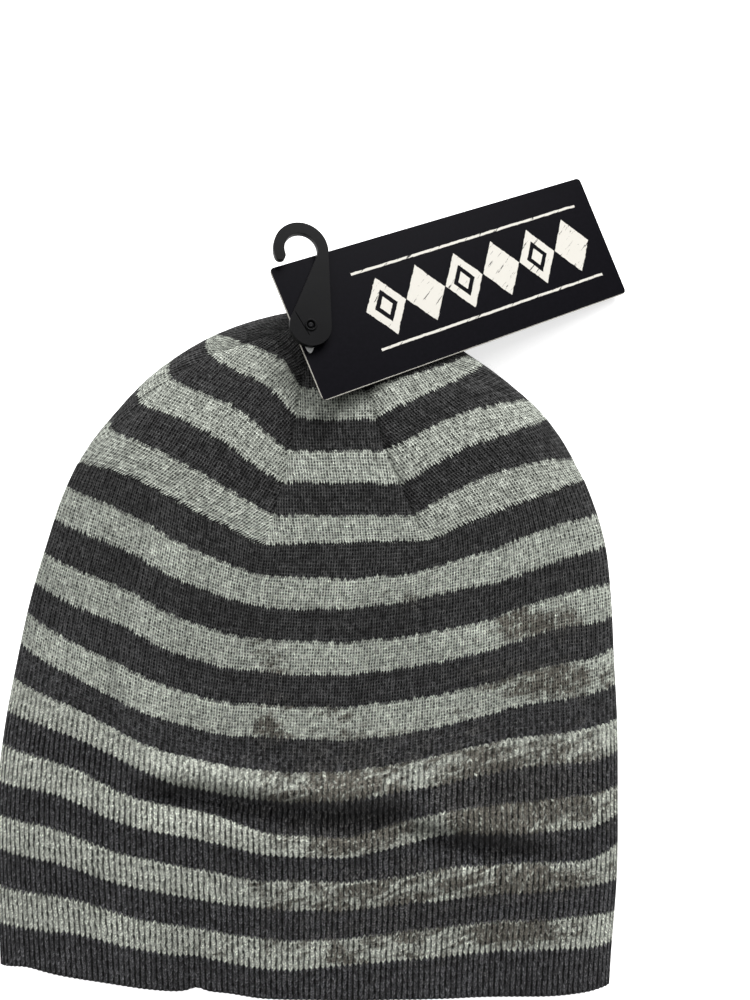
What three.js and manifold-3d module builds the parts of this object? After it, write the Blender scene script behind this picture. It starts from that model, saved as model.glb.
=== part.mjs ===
// Knit beanie without a cuff, lying flat, with its retail hang tag pinned to the crown.
// Millimetres. +X across the hat, +Y from the hem towards the crown, +Z up.
// The origin is on the flat underside, below the middle of the hat.
import * as THREE from "three";
import Module from "manifold-3d";

// ---------------------------------------------------------------- driving dimensions
const KNIT = 3.0; // thickness of one layer of knit
const GAP = 0.3; // clearance between neighbouring pieces
const CROWN_Y = 120.4; // top edge of the crown
const RIM_Z = 13; // height of the folded side edge
const DOME_Y = 72; // the crown rounds over beyond here
const HEM_Y = { front: -114, left: -106.7, right: -114, back: -112.5 }; // hem edge
const DART_Y = { front: 38.8, left: 64.6, right: 57.7, back: 38.8 }; // where the darts start
const TOP_Z = [ // height of the upper layer along the hat
  [-120, 21], [-90, 23], [-60, 26], [-20, 28], [30, 29.5], [60, 30.3], [78, 30.5], [125, 30.5],
];
// side edges of the flat hat: [sqrt(CROWN_Y - y), left x, right x]
const OUTLINE = [
  [0, 7.5, 7.5], [1, -5.0, 21.0], [2, -18.0, 33.5], [3, -31.6, 44.5], [4, -44.1, 55.5],
  [5, -55.9, 68.0], [6, -66.3, 80.4], [7, -76.8, 89.9], [8, -84.4, 97.3], [9, -90.1, 102.5],
  [10, -95.8, 104.7], [11, -100.4, 105.8], [12, -104.9, 107.0], [13, -107.7, 107.2],
  [14, -107.9, 107.1], [15, -106.9, 105.0], [16, -105.5, 103.5],
];
// dart seams, as degrees round the hat (0 right edge, 90 front centre, 180 left edge,
// 270 back centre) from where each starts, through the crown, to the closed top
const SEAM_U = [0, 0.2, 0.35, 0.6, 1];
const SEAMS = {
  front_left: [102.6, 100.5, 98.5, 97.5, 97],
  side_left: [180, 160, 141, 128, 122],
  back_left: [257, 258, 260, 262, 262],
  back_right: [291, 289, 286, 283, 282],
  side_right: [360, 374, 392, 405, 410],
  front_right: [429.3, 433, 436, 438, 439],
};
const SEAM_WIDE = 1.6; // turned-in allowance of each dart seam
const SEAM_DEEP = 2.8;
const SEAM_OFF = 1.0; // extra room where the knit curves
const CROWN_END = 0.92; // the gores stop here and the closing stitch fills the hole
const TAG = { long: 121.4, wide: 45, thick: 0.6, corner: 1.6 };
const TAG_YAW = 22.32; // degrees: the tag's long side, seen from above
const TAG_DIP = 17.2; // degrees: its free end hangs lower
const TAG_PIN = { fromEnd: 4.82, offCentre: 0.81 }; // where the hanger pin goes through
const TAG_END = [-1.7, 106.07, 39.0]; // middle of the tag's pinned end, on its face
const HOOK_TURN = -22.3; // degrees from the tag's short side
const HOOK = { ring: [-2.93, 24.4], outer: 8.78, inner: 5.3, foot: 6.66, thick: 2.2 };
const PIN = { shaft: 0.9, clear: 1.25, disc: 3.4, discThick: 1.0, reach: 23.4 };

// ---------------------------------------------------------------- the hat's surface
const rad = (d) => (d * Math.PI) / 180;
function curve(table, x, col = 1) {
  // Catmull-Rom through a table's rows, held at its ends
  const n = table.length;
  if (x <= table[0][0]) return table[0][col];
  if (x >= table[n - 1][0]) return table[n - 1][col];
  let i = 0;
  while (x > table[i + 1][0]) i++;
  const p0 = table[Math.max(i - 1, 0)], p1 = table[i], p2 = table[i + 1], p3 = table[Math.min(i + 2, n - 1)];
  const h = p2[0] - p1[0], t = (x - p1[0]) / h;
  const m1 = ((p2[col] - p0[col]) / (p2[0] - p0[0])) * h;
  const m2 = ((p3[col] - p1[col]) / (p3[0] - p1[0])) * h;
  const t2 = t * t, t3 = t2 * t;
  return (2 * t3 - 3 * t2 + 1) * p1[col] + (t3 - 2 * t2 + t) * m1 + (3 * t2 - 2 * t3) * p2[col] + (t3 - t2) * m2;
}
function onHat(deg, y) {
  const c = Math.cos(rad(deg)), a = Math.abs(c), front = Math.sin(rad(deg)) >= 0;
  const tau = Math.sqrt(Math.max(CROWN_Y - y, 0));
  const xl = curve(OUTLINE, tau, 1), xr = curve(OUTLINE, tau, 2);
  const q = Math.min(Math.max((y - DOME_Y) / (CROWN_Y - DOME_Y), 0), 1);
  const dome = Math.pow(1 - Math.pow(q, 2.2), 1 / 2.2);
  const z = front
    ? RIM_Z + (curve(TOP_Z, y) - RIM_Z) * dome * (1 - a ** 2.7) ** (1 / 2.7)
    : RIM_Z - RIM_Z * dome * Math.min(1, 1.04 * Math.pow(1 - a ** 4, 0.25));
  return new THREE.Vector3((xl + xr) / 2 + ((xr - xl) / 2) * c, y, z);
}
function edge(table, deg, power) {
  // y of a row of stitches: its middle on the front or back, and its ends at the side edges
  const c = Math.cos(rad(deg)), front = Math.sin(rad(deg)) >= 0;
  const mid = front ? table.front : table.back, end = c < 0 ? table.left : table.right;
  return mid + (end - mid) * Math.abs(c) ** power;
}
const bodyY = (deg, v) => edge(HEM_Y, deg, 2) * (1 - v) + edge(DART_Y, deg, 1.3) * v;
function crownY(deg, u) {
  const tau = Math.sqrt(CROWN_Y - edge(DART_Y, deg, 1.3)) * (1 - u);
  return CROWN_Y - tau * tau;
}
function normalAt(place, deg, y) {
  const e = 0.4, f = 0.25;
  const du = place(deg + e, y).sub(place(deg - e, y));
  const dv = place(deg, Math.min(y + f, CROWN_Y - 1e-3)).sub(place(deg, y - f));
  return new THREE.Vector3().crossVectors(dv, du).normalize();
}
function skin(deg, y) {
  const p = onHat(deg, y), n = normalAt(onHat, deg, y);
  return { p, n, inner: p.clone().addScaledVector(n, -KNIT) };
}

// ---------------------------------------------------------------- solids from grids of points
function solid(vertices, index) {
  let volume = 0;
  for (let i = 0; i < index.length; i += 3) {
    const [a, b, c] = [0, 1, 2].map((k) => vertices[index[i + k]]);
    volume += a.dot(new THREE.Vector3().crossVectors(b, c)) / 6;
  }
  if (volume < 0) for (let i = 0; i < index.length; i += 3) [index[i + 1], index[i + 2]] = [index[i + 2], index[i + 1]];
  const g = new THREE.BufferGeometry();
  g.setAttribute("position", new THREE.BufferAttribute(new Float32Array(vertices.flatMap((v) => [v.x, v.y, v.z])), 3));
  g.setIndex(index);
  g.computeVertexNormals();
  return g;
}
function sheetSolid(outer, inner, ring) {
  // two grids [row][column] of the same size, joined along their edges
  const rows = outer.length, cols = outer[0].length;
  const vertices = [...outer.flat(), ...inner.flat()];
  const at = (layer, r, c) => layer * rows * cols + r * cols + (c % cols);
  const index = [];
  const quad = (a, b, c, d) => index.push(a, b, c, a, c, d);
  const spans = ring ? cols : cols - 1;
  for (let r = 0; r < rows - 1; r++)
    for (let c = 0; c < spans; c++) {
      quad(at(0, r, c), at(0, r, c + 1), at(0, r + 1, c + 1), at(0, r + 1, c));
      quad(at(1, r, c), at(1, r + 1, c), at(1, r + 1, c + 1), at(1, r, c + 1));
    }
  for (let c = 0; c < spans; c++) {
    quad(at(0, 0, c), at(1, 0, c), at(1, 0, c + 1), at(0, 0, c + 1));
    quad(at(0, rows - 1, c), at(0, rows - 1, c + 1), at(1, rows - 1, c + 1), at(1, rows - 1, c));
  }
  if (!ring)
    for (let r = 0; r < rows - 1; r++) {
      quad(at(0, r, 0), at(0, r + 1, 0), at(1, r + 1, 0), at(1, r, 0));
      quad(at(0, r, cols - 1), at(1, r, cols - 1), at(1, r + 1, cols - 1), at(0, r + 1, cols - 1));
    }
  return solid(vertices, index);
}
function barSolid(sections) {
  // sections of the same number of corners, in order along a bar
  const k = sections[0].length, vertices = sections.flat(), index = [];
  for (let s = 0; s < sections.length - 1; s++)
    for (let i = 0; i < k; i++) {
      const a = s * k + i, b = s * k + ((i + 1) % k), c = a + k, d = b + k;
      index.push(a, b, d, a, d, c);
    }
  const last = (sections.length - 1) * k;
  for (let i = 1; i < k - 1; i++) {
    index.push(0, i + 1, i);
    index.push(last, last + i, last + i + 1);
  }
  return solid(vertices, index);
}

function plate(shape, depth, segments) {
  // an extruded outline, with points that fall together taken once
  const thin = (points) => {
    const keep = points.filter((p, i) => i === 0 || p.distanceTo(points[i - 1]) > 1e-3);
    while (keep.length > 1 && keep[0].distanceTo(keep[keep.length - 1]) < 1e-3) keep.pop();
    return keep;
  };
  const rim = thin(shape.getPoints(segments));
  if (THREE.ShapeUtils.isClockWise(rim)) rim.reverse();
  const s = new THREE.Shape(rim);
  for (const h of shape.holes) s.holes.push(new THREE.Path(thin(h.getPoints(segments))));
  return new THREE.ExtrudeGeometry(s, { depth, bevelEnabled: false });
}

// ---------------------------------------------------------------- booleans
const wasm = await Module();
wasm.setup();
function toManifold(g) {
  const flat = g.index ? g.toNonIndexed() : g;
  const p = flat.attributes.position, seen = new Map(), vert = [], tri = [];
  for (let i = 0; i < p.count; i++) {
    const key = [p.getX(i), p.getY(i), p.getZ(i)].map((x) => Math.round(x * 1e4)).join();
    if (!seen.has(key)) {
      seen.set(key, vert.length / 3);
      vert.push(p.getX(i), p.getY(i), p.getZ(i));
    }
    tri.push(seen.get(key));
  }
  const keep = [];
  for (let i = 0; i < tri.length; i += 3)
    if (tri[i] !== tri[i + 1] && tri[i + 1] !== tri[i + 2] && tri[i] !== tri[i + 2]) keep.push(tri[i], tri[i + 1], tri[i + 2]);
  return new wasm.Manifold(new wasm.Mesh({ numProp: 3, vertProperties: new Float32Array(vert), triVerts: new Uint32Array(keep) }));
}
function fromManifold(m) {
  const mesh = m.getMesh(), g = new THREE.BufferGeometry();
  g.setAttribute("position", new THREE.BufferAttribute(new Float32Array(mesh.vertProperties), 3));
  g.setIndex(Array.from(mesh.triVerts));
  g.computeVertexNormals();
  return g;
}

// ---------------------------------------------------------------- materials
const mat = (color, roughness, metalness = 0) => new THREE.MeshStandardMaterial({ color, roughness, metalness });
const knitMat = () => mat(0x9a9d95, 0.95);
const darkKnitMat = () => mat(0x2f2f2e, 0.95);
const group = new THREE.Group();
function add(name, geometry, material, parent = group) {
  const mesh = new THREE.Mesh(geometry, material);
  mesh.name = name;
  parent.add(mesh);
  return mesh;
}

// ---------------------------------------------------------------- body tube: hem to dart start
const GORES = [
  ["front_right", "front_left", 6], ["front_left", "side_left", 9], ["side_left", "back_left", 10],
  ["back_left", "back_right", 5], ["back_right", "side_right", 10], ["side_right", "front_right", 9],
];
const turn = (deg, after) => (deg < after ? deg + 360 : deg);
{
  // one column at each column of the gores above, so that the two edges run alike
  const around = [];
  for (const [from, to, columns] of GORES)
    for (let c = 0; c < columns; c++) around.push(SEAMS[from][0] + ((turn(SEAMS[to][0], SEAMS[from][0]) - SEAMS[from][0]) * c) / columns);
  const rows = [0, 0.12, 0.28, 0.46, 0.64, 0.82, 1];
  const outer = [], inner = [];
  for (const v of rows) {
    const a = [], b = [];
    for (const d of around) {
      const s = skin(d, bodyY(d, v) - (v === 1 ? GAP : 0));
      a.push(s.p);
      b.push(s.inner);
    }
    outer.push(a);
    inner.push(b);
  }
  add("body_tube", sheetSolid(outer, inner, true), darkKnitMat());
}

// ---------------------------------------------------------------- crown gores
const seamAt = (name, u) => curve(SEAM_U.map((s, i) => [s, SEAMS[name][i]]), u);
function ringStep(deg, y) {
  // degrees that move a point round the hat by 1 mm
  return 1 / Math.max(onHat(deg + 0.5, y).distanceTo(onHat(deg - 0.5, y)), 1e-3);
}
function gore(from, to, columns) {
  const outer = [], inner = [], wrap = SEAMS[to][0] < SEAMS[from][0] ? 360 : 0;
  for (let r = 0; r <= 8; r++) {
    const u = (CROWN_END * r) / 8;
    let a = seamAt(from, u), b = seamAt(to, u) + wrap;
    a += (GAP / 2) * ringStep(a, crownY(a, u));
    b -= (GAP / 2) * ringStep(b, crownY(b, u));
    const rowA = [], rowB = [];
    for (let c = 0; c <= columns; c++) {
      const d = a + ((b - a) * c) / columns;
      const s = skin(d, crownY(d, u) + (r === 0 ? GAP : 0));
      rowA.push(s.p);
      rowB.push(s.inner);
    }
    outer.push(rowA);
    inner.push(rowB);
  }
  return sheetSolid(outer, inner, false);
}

// frame of the tag: origin where the pin meets its face, x along it, z off its face
const dip = rad(TAG_DIP), yaw = rad(TAG_YAW);
const U = new THREE.Vector3(Math.cos(yaw) * Math.cos(dip), Math.sin(yaw) * Math.cos(dip), -Math.sin(dip));
const V = new THREE.Vector3(-Math.sin(yaw), Math.cos(yaw), 0);
const N = new THREE.Vector3().crossVectors(U, V);
const pinAt = new THREE.Vector3(...TAG_END).addScaledVector(U, TAG_PIN.fromEnd).addScaledVector(V, TAG_PIN.offCentre);
const tagFrame = new THREE.Group();
tagFrame.applyMatrix4(new THREE.Matrix4().makeBasis(U, V, N).setPosition(pinAt));
group.add(tagFrame);

// the pin's hole through the knit
const drill = new THREE.CylinderGeometry(PIN.clear, PIN.clear, 24, 14);
drill.rotateX(Math.PI / 2).translate(0, 0, -10);
drill.applyMatrix4(tagFrame.matrix);
const hole = toManifold(drill);
const pierced = (g) => fromManifold(toManifold(g).subtract(hole));

const colours = { front: knitMat, back_left: knitMat, back_right: knitMat };
for (const [from, to, columns] of GORES) {
  const name = { front_right: "front", front_left: "front_left", side_left: "back_left", back_left: "back", back_right: "back_right", side_right: "front_right" }[from];
  const g = gore(from, to, columns);
  add(`gore_${name}`, name === "front" || name === "front_left" ? pierced(g) : g, (colours[name] ?? darkKnitMat)());
}

// ---------------------------------------------------------------- seam allowances inside
function allowance(path) {
  // path: points {p, n} on the outer surface
  const sections = path.map((s, i) => {
    const a = path[Math.max(i - 1, 0)].p, b = path[Math.min(i + 1, path.length - 1)].p;
    const t = b.clone().sub(a).normalize();
    const side = new THREE.Vector3().crossVectors(t, s.n).normalize().multiplyScalar(SEAM_WIDE / 2);
    const top = s.p.clone().addScaledVector(s.n, -(KNIT + GAP + SEAM_OFF));
    const low = s.p.clone().addScaledVector(s.n, -(KNIT + GAP + SEAM_OFF + SEAM_DEEP));
    return [top.clone().add(side), top.clone().sub(side), low.clone().sub(side), low.clone().add(side)];
  });
  return barSolid(sections);
}
for (const [name, until] of Object.entries({ front_left: 0.42, front_right: 0.7, side_left: 0.7, side_right: 0.7, back_left: 0.7, back_right: 0.7 })) {
  const path = [];
  for (let i = 0; i <= 9; i++) {
    const u = 0.03 + ((until - 0.03) * i) / 9, d = seamAt(name, u);
    path.push(skin(d, crownY(d, u)));
  }
  add(`dart_seam_${name}`, allowance(path), darkKnitMat());
}
{
  const path = [];
  for (let i = 0; i <= 6; i++) path.push(skin(270, bodyY(270, 0.02 + (0.95 * i) / 6)));
  add("back_seam", allowance(path), darkKnitMat());
}

// ---------------------------------------------------------------- closing stitch at the top
{
  const g = new THREE.SphereGeometry(1, 14, 10);
  g.scale(3.4, 1.1, 0.9).translate(7.5, CROWN_Y - 1.6, RIM_Z);
  add("crown_tack", fromManifold(toManifold(g)), darkKnitMat());
}

// ---------------------------------------------------------------- blank care label, inside at the back seam
{
  const leaf = 0.4, open = 0.7, long = 30, high = 18;
  const s = new THREE.Shape();
  s.moveTo(0, 0);
  s.lineTo(long, 0);
  s.absarc(long, leaf + open / 2, leaf + open / 2, -Math.PI / 2, Math.PI / 2, false);
  s.lineTo(0, 2 * leaf + open);
  s.lineTo(0, leaf + open);
  s.lineTo(long, leaf + open);
  s.absarc(long, leaf + open / 2, open / 2, Math.PI / 2, -Math.PI / 2, true);
  s.lineTo(0, leaf);
  s.closePath();
  const g = plate(s, high, 6);
  g.rotateX(Math.PI / 2).translate(1.4, -82, KNIT + GAP + 0.2);
  add("care_label", g, mat(0xe8e8e4, 0.6));
}

// ---------------------------------------------------------------- hang tag
{
  const { long, wide, thick, corner } = TAG, x0 = -TAG_PIN.fromEnd, y0 = -wide / 2 - TAG_PIN.offCentre;
  const x1 = x0 + long, y1 = y0 + wide, s = new THREE.Shape();
  s.moveTo(x0 + corner, y0);
  s.lineTo(x1 - corner, y0);
  s.absarc(x1 - corner, y0 + corner, corner, -Math.PI / 2, 0, false);
  s.lineTo(x1, y1 - corner);
  s.absarc(x1 - corner, y1 - corner, corner, 0, Math.PI / 2, false);
  s.lineTo(x0 + corner, y1);
  s.absarc(x0 + corner, y1 - corner, corner, Math.PI / 2, Math.PI, false);
  s.lineTo(x0, y0 + corner);
  s.absarc(x0 + corner, y0 + corner, corner, Math.PI, 1.5 * Math.PI, false);
  const h = new THREE.Path();
  h.absarc(0, 0, PIN.clear, 0, 2 * Math.PI, true);
  s.holes.push(h);
  const g = plate(s, thick, 6);
  g.translate(0, 0, -thick);
  add("hang_tag_card", g, mat(0x1c1b1f, 0.45), tagFrame);
}

// ---------------------------------------------------------------- hanger: J-hook plate, clear washer, pin
const hookFrame = new THREE.Group();
hookFrame.rotation.z = rad(HOOK_TURN);
tagFrame.add(hookFrame);
{
  const [rx, ry] = HOOK.ring, { outer, inner, foot, thick } = HOOK;
  const tip = rad(200), mid = (outer + inner) / 2, s = new THREE.Shape();
  const start = rad(-17);
  s.moveTo(rx + inner * Math.cos(start), ry + inner * Math.sin(start));
  s.absarc(rx, ry, inner, start, tip, false);
  s.absarc(rx + mid * Math.cos(tip), ry + mid * Math.sin(tip), (outer - inner) / 2, tip + Math.PI, tip, true);
  s.absarc(rx, ry, outer, tip, 0, true);
  s.absarc(0, 0, foot, 0, rad(166) - 2 * Math.PI, true);
  s.closePath();
  const h = new THREE.Path();
  h.absarc(0, 0, PIN.clear, 0, 2 * Math.PI, true);
  s.holes.push(h);
  const g = plate(s, thick, 14);
  g.translate(0, 0, 1.0);
  add("hook_hanger", g, mat(0x232323, 0.42), hookFrame);
}
{
  const s = new THREE.Shape();
  s.moveTo(1.2, -7.0);
  s.absarc(0, 0, 5.2, rad(-62), rad(242), false);
  s.lineTo(-1.0, -7.0);
  s.lineTo(0.3, -8.3);
  s.closePath();
  const h = new THREE.Path();
  h.absarc(0, 0, PIN.clear, 0, 2 * Math.PI, true);
  s.holes.push(h);
  const g = plate(s, 0.4, 12);
  g.translate(0, 0, 0.3);
  add("clear_washer", g, mat(0xe6e6e4, 0.25), hookFrame);
}
{
  const { shaft, disc, discThick, reach } = PIN, top = 3.5;
  const profile = [
    [0, top - reach], [disc - 0.3, top - reach], [disc, top - reach + 0.3], [disc, top - reach + discThick],
    [shaft, top - reach + discThick], [shaft, top - 0.3], [shaft - 0.3, top], [0, top],
  ].map(([x, y]) => new THREE.Vector2(x, y));
  const g = new THREE.LatheGeometry(profile, 18);
  g.rotateX(Math.PI / 2);
  add("hanger_pin", fromManifold(toManifold(g)), mat(0x222222, 0.4), tagFrame);
}

export default group;
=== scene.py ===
import math

import bmesh
import bpy
import numpy as np
from mathutils import Matrix, Vector


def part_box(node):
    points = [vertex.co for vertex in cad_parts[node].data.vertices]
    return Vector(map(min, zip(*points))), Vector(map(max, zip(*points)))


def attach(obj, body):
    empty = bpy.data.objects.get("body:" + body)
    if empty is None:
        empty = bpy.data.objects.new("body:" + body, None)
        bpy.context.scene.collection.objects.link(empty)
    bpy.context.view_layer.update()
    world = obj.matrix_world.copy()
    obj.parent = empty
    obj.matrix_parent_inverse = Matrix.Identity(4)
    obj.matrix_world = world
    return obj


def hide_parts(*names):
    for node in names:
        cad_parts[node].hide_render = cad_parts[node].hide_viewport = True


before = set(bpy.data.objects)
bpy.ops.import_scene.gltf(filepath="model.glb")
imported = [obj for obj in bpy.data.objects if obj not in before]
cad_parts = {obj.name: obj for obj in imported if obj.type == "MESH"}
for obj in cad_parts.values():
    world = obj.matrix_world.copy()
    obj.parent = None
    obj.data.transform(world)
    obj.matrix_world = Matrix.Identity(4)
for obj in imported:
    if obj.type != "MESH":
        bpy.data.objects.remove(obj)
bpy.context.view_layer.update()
MM = 0.001
WORLD, KEY, FILL = 0.13, 17.0, 7.5
rng = np.random.default_rng(7)

# ------------------------------------------------------------------ camera
CAM = np.array([23.1, 54.25, 275.0])  # mm, looking straight down, up is +Y
FOCAL = 751.0  # in units of the 750x1000 frame
cam_data = bpy.data.cameras.new("camera")
cam = bpy.data.objects.new("camera", cam_data)
bpy.context.scene.collection.objects.link(cam)
cam.location = CAM * MM
cam.rotation_euler = (0, 0, 0)
cam_data.sensor_fit = "VERTICAL"
cam_data.sensor_height = 36.0
cam_data.sensor_width = 27.0
cam_data.lens = FOCAL * 36.0 / 1000.0
cam_data.clip_start = 0.01
bpy.context.scene.camera = cam

# ------------------------------------------------------------------ the hat's surface
CROWN_Y, RIM_Z, DOME_Y = 120.4, 13.0, 72.0
TOP_Z = np.array([(-120, 21), (-90, 23), (-60, 26), (-20, 28), (30, 29.5), (60, 30.3), (78, 30.5), (125, 30.5)], float)
OUTLINE = np.array([
    (0, 7.5, 7.5), (1, -5.0, 21.0), (2, -18.0, 33.5), (3, -31.6, 44.5), (4, -44.1, 55.5), (5, -55.9, 68.0),
    (6, -66.3, 80.4), (7, -76.8, 89.9), (8, -84.4, 97.3), (9, -90.1, 102.5), (10, -95.8, 104.7),
    (11, -100.4, 105.8), (12, -104.9, 107.0), (13, -107.7, 107.2), (14, -107.9, 107.1), (15, -106.9, 105.0),
    (16, -105.5, 103.5)], float)


def hermite(xs, ys, x):
    """Catmull-Rom through the points, held at its ends."""
    xs, ys = np.asarray(xs, float), np.asarray(ys, float)
    x = np.clip(x, xs[0], xs[-1])
    i = np.clip(np.searchsorted(xs, x, side="right") - 1, 0, len(xs) - 2)
    i0, i3 = np.maximum(i - 1, 0), np.minimum(i + 2, len(xs) - 1)
    h = xs[i + 1] - xs[i]
    t = (x - xs[i]) / h
    m1 = (ys[i + 1] - ys[i0]) / (xs[i + 1] - xs[i0]) * h
    m2 = (ys[i3] - ys[i]) / (xs[i3] - xs[i]) * h
    t2, t3 = t * t, t * t * t
    return (2 * t3 - 3 * t2 + 1) * ys[i] + (t3 - 2 * t2 + t) * m1 + (3 * t2 - 2 * t3) * ys[i + 1] + (t3 - t2) * m2


def edges_at(y):
    tau = np.sqrt(np.maximum(CROWN_Y - y, 0))
    return hermite(OUTLINE[:, 0], OUTLINE[:, 1], tau), hermite(OUTLINE[:, 0], OUTLINE[:, 2], tau)


def on_hat(theta, y):
    """Point on the smooth hat: theta in radians round it (0 right, pi/2 front, pi left)."""
    theta, y = np.broadcast_arrays(np.asarray(theta, float), np.asarray(y, float))
    c = np.cos(theta)
    a = np.minimum(np.abs(c), 1.0)
    front = np.sin(theta) >= 0
    xl, xr = edges_at(y)
    q = np.clip((y - DOME_Y) / (CROWN_Y - DOME_Y), 0, 1)
    dome = (1 - q**2.2) ** (1 / 2.2)
    top = hermite(TOP_Z[:, 0], TOP_Z[:, 1], y)
    zf = RIM_Z + (top - RIM_Z) * dome * (1 - a**2.7) ** (1 / 2.7)
    zb = RIM_Z - RIM_Z * dome * np.minimum(1, 1.04 * np.maximum(1 - a**4, 0) ** 0.25)
    return np.stack([(xl + xr) / 2 + (xr - xl) / 2 * c, y, np.where(front, zf, zb)], -1)


def from_frame(px, py, z0=28.0):
    """The point of the front layer seen at a place in the 750x1000 frame: c = cos(theta), y."""
    z = z0
    for _ in range(8):
        s = (CAM[2] - z) / FOCAL
        x, y = CAM[0] + (px - 375) * s, CAM[1] + (500 - py) * s
        y = min(y, CROWN_Y - 0.5)
        xl, xr = edges_at(y)
        c = float(np.clip((x - (xl + xr) / 2) / ((xr - xl) / 2), -0.995, 0.995))
        z = 0.5 * z + 0.5 * float(on_hat(math.acos(c), y)[..., 2])
    return c, float(y)


# heights at which the stripes change, counted up from the hem, along columns of the frame
STRIPES = {
    6: [966],
    25: [966, 930, 894, 858, 824, 790, 755, 721, 687, 649],
    50: [973, 933, 897, 863, 829, 794, 762, 730, 699, 666, 631, 594, 559],
    80: [979, 936, 902, 872, 840, 806, 772, 741, 712, 681, 648, 610, 573, 533, 495, 464],
    110: [984, 945, 913, 884, 853, 821, 790, 756, 728, 698, 662, 622, 585, 545, 507, 470, 432],
    140: [988, 951, 921, 890, 859, 830, 801, 771, 744, 713, 677, 637, 599, 560, 522, 482, 444],
    170: [991, 956, 926, 896, 866, 836, 807, 783, 755, 723, 689, 653, 616, 577, 539, 498, 458, 416, 380],
    200: [991, 958, 930, 901, 871, 841, 812, 789, 761, 731, 699, 662, 628, 590, 555, 515, 475, 430, 394],
    230: [993, 964, 936, 906, 877, 848, 821, 795, 768, 737, 705, 670, 636, 600, 566, 529, 492, 448, 406, 369, 340],
    260: [998, 970, 940, 909, 883, 856, 834, 799, 772, 738, 706, 672, 641, 608, 577, 545, 510, 471, 429, 383, 349],
    290: [1000, 972, 943, 912, 882, 858, 837, 802, 775, 740, 709, 676, 643, 611, 579, 548, 517],
    350: [1000, 966, 940, 912, 884, 859, 840, 801, 773, 742, 709, 676, 644, 610, 581, 547, 516],
    410: [1000, 961, 932, 904, 877, 845, 820, 791, 763, 734, 701, 668, 638, 602, 576, 547],
    440: [998, 959, 929, 903, 871, 836, 814, 787, 757, 728, 697, 663, 632, 595, 567, 537, 501, 463, 425, 388, 367],
    470: [997, 955, 926, 898, 868, 833, 810, 779, 749, 721, 690, 657, 627, 589, 558, 523, 486, 448, 412, 374],
    500: [997, 952, 922, 895, 866, 834, 805, 773, 742, 712, 682, 648, 618, 583, 549, 512, 474, 438, 406],
    530: [996, 952, 923, 895, 864, 835, 804, 768, 738, 705, 673, 638, 606, 573, 537, 501, 465],
    560: [995, 951, 920, 892, 864, 832, 799, 765, 736, 702, 666, 629, 597, 562, 526, 490, 461],
    590: [992, 950, 917, 887, 862, 830, 797, 764, 730, 696, 661, 626, 590, 553, 519],
    606: [986, 945, 915, 884, 853, 823, 792, 758, 725, 690, 654, 620, 586],
}
# where each dart crosses each stripe change from 15 up
DART_L = {15: (265, 546), 16: (272, 517), 17: (282, 484), 18: (289, 453), 19: (295, 419), 20: (301, 388), 21: (307, 362), 22: (314, 334)}
DART_R = {15: (427, 541), 16: (414, 517), 17: (401, 486), 18: (386, 452), 19: (376, 420), 20: (368, 391), 21: (360, 362), 22: (352, 336)}
EXTRA = {
    17: [(320, 484), (370, 484), (138, 404), (138, 387)], 18: [(320, 453), (350, 452), (168, 364)], 19: [(205, 340), (210, 356), (285, 404), (320, 421), (350, 421), (385, 414), (410, 403)],
    16: [(108, 423)],
    20: [(285, 362), (320, 391), (345, 391), (385, 384), (410, 377)],
    21: [(262, 324), (285, 334), (330, 362), (385, 356), (415, 350), (440, 345)],
    22: [(298, 318), (330, 336), (372, 328), (392, 321)],
}
POLE_V = 22.75
C = np.linspace(-1, 1, 801)


def stripe_curve(k):
    pts = [(x, ys[k]) for x, ys in STRIPES.items() if len(ys) > k]
    if k >= 15:
        pts = [p for p in pts if not (DART_L[k][0] - 4 < p[0] < DART_R[k][0] + 4)] + [DART_L[k], DART_R[k]]
    pts += EXTRA.get(k, [])
    if k == 20:
        pts = [p for p in pts if p[0] not in (230,)] + [(232, 341)]
    cy = sorted(from_frame(*p) for p in pts)
    c, y = np.array([p[0] for p in cy]), np.array([p[1] for p in cy])
    keep = np.concatenate([[True], np.diff(c) > 1e-3])
    c, y = c[keep], y[keep]
    for end in (0, -1):
        i, j = (0, 1) if end == 0 else (-1, -2)
        slope = (y[i] - y[j]) / (abs(c[i]) - abs(c[j])) if abs(abs(c[i]) - abs(c[j])) > 1e-3 else 0
        ye = y[i] + np.clip(slope * (1 - abs(c[i])), -2, 9)
        if 1 - abs(c[i]) > 0.004:
            if end == 0:
                c, y = np.insert(c, 0, -1), np.insert(y, 0, ye)
            else:
                c, y = np.append(c, 1), np.append(y, ye)
    line = np.interp(C, c, y)
    pad = np.pad(line, 20, mode="edge")
    kern = np.exp(-0.5 * (np.arange(-20, 21) / (5.0 if k >= 15 else 9.0)) ** 2)
    return np.convolve(pad, kern / kern.sum(), mode="valid")


KS = np.arange(0, 23)
FRONT = np.array([stripe_curve(k) for k in KS])
MIDS = FRONT[:, 360:440].mean(1)
BACK = []
for k in KS:
    mid = MIDS[k] + (1.0 if k == 0 else 0.0)
    end = np.where(C < 0, FRONT[k, 0], FRONT[k, -1])
    BACK.append(mid + (end - mid) * np.abs(C) ** 1.7)
BACK = np.array(BACK)
VS = np.concatenate([[-0.6], KS, [POLE_V]])
FRONT = np.vstack([FRONT[0] * 1.6 - FRONT[1] * 0.6, FRONT, np.full(len(C), CROWN_Y)])
BACK = np.vstack([BACK[0] * 1.6 - BACK[1] * 0.6, BACK, np.full(len(C), CROWN_Y)])
for T in (FRONT, BACK):  # each row lies above the one before it
    for i in range(1, len(T)):
        T[i] = np.maximum(T[i], T[i - 1] + 0.02)
    T[:] = np.minimum(T, CROWN_Y)


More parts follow.
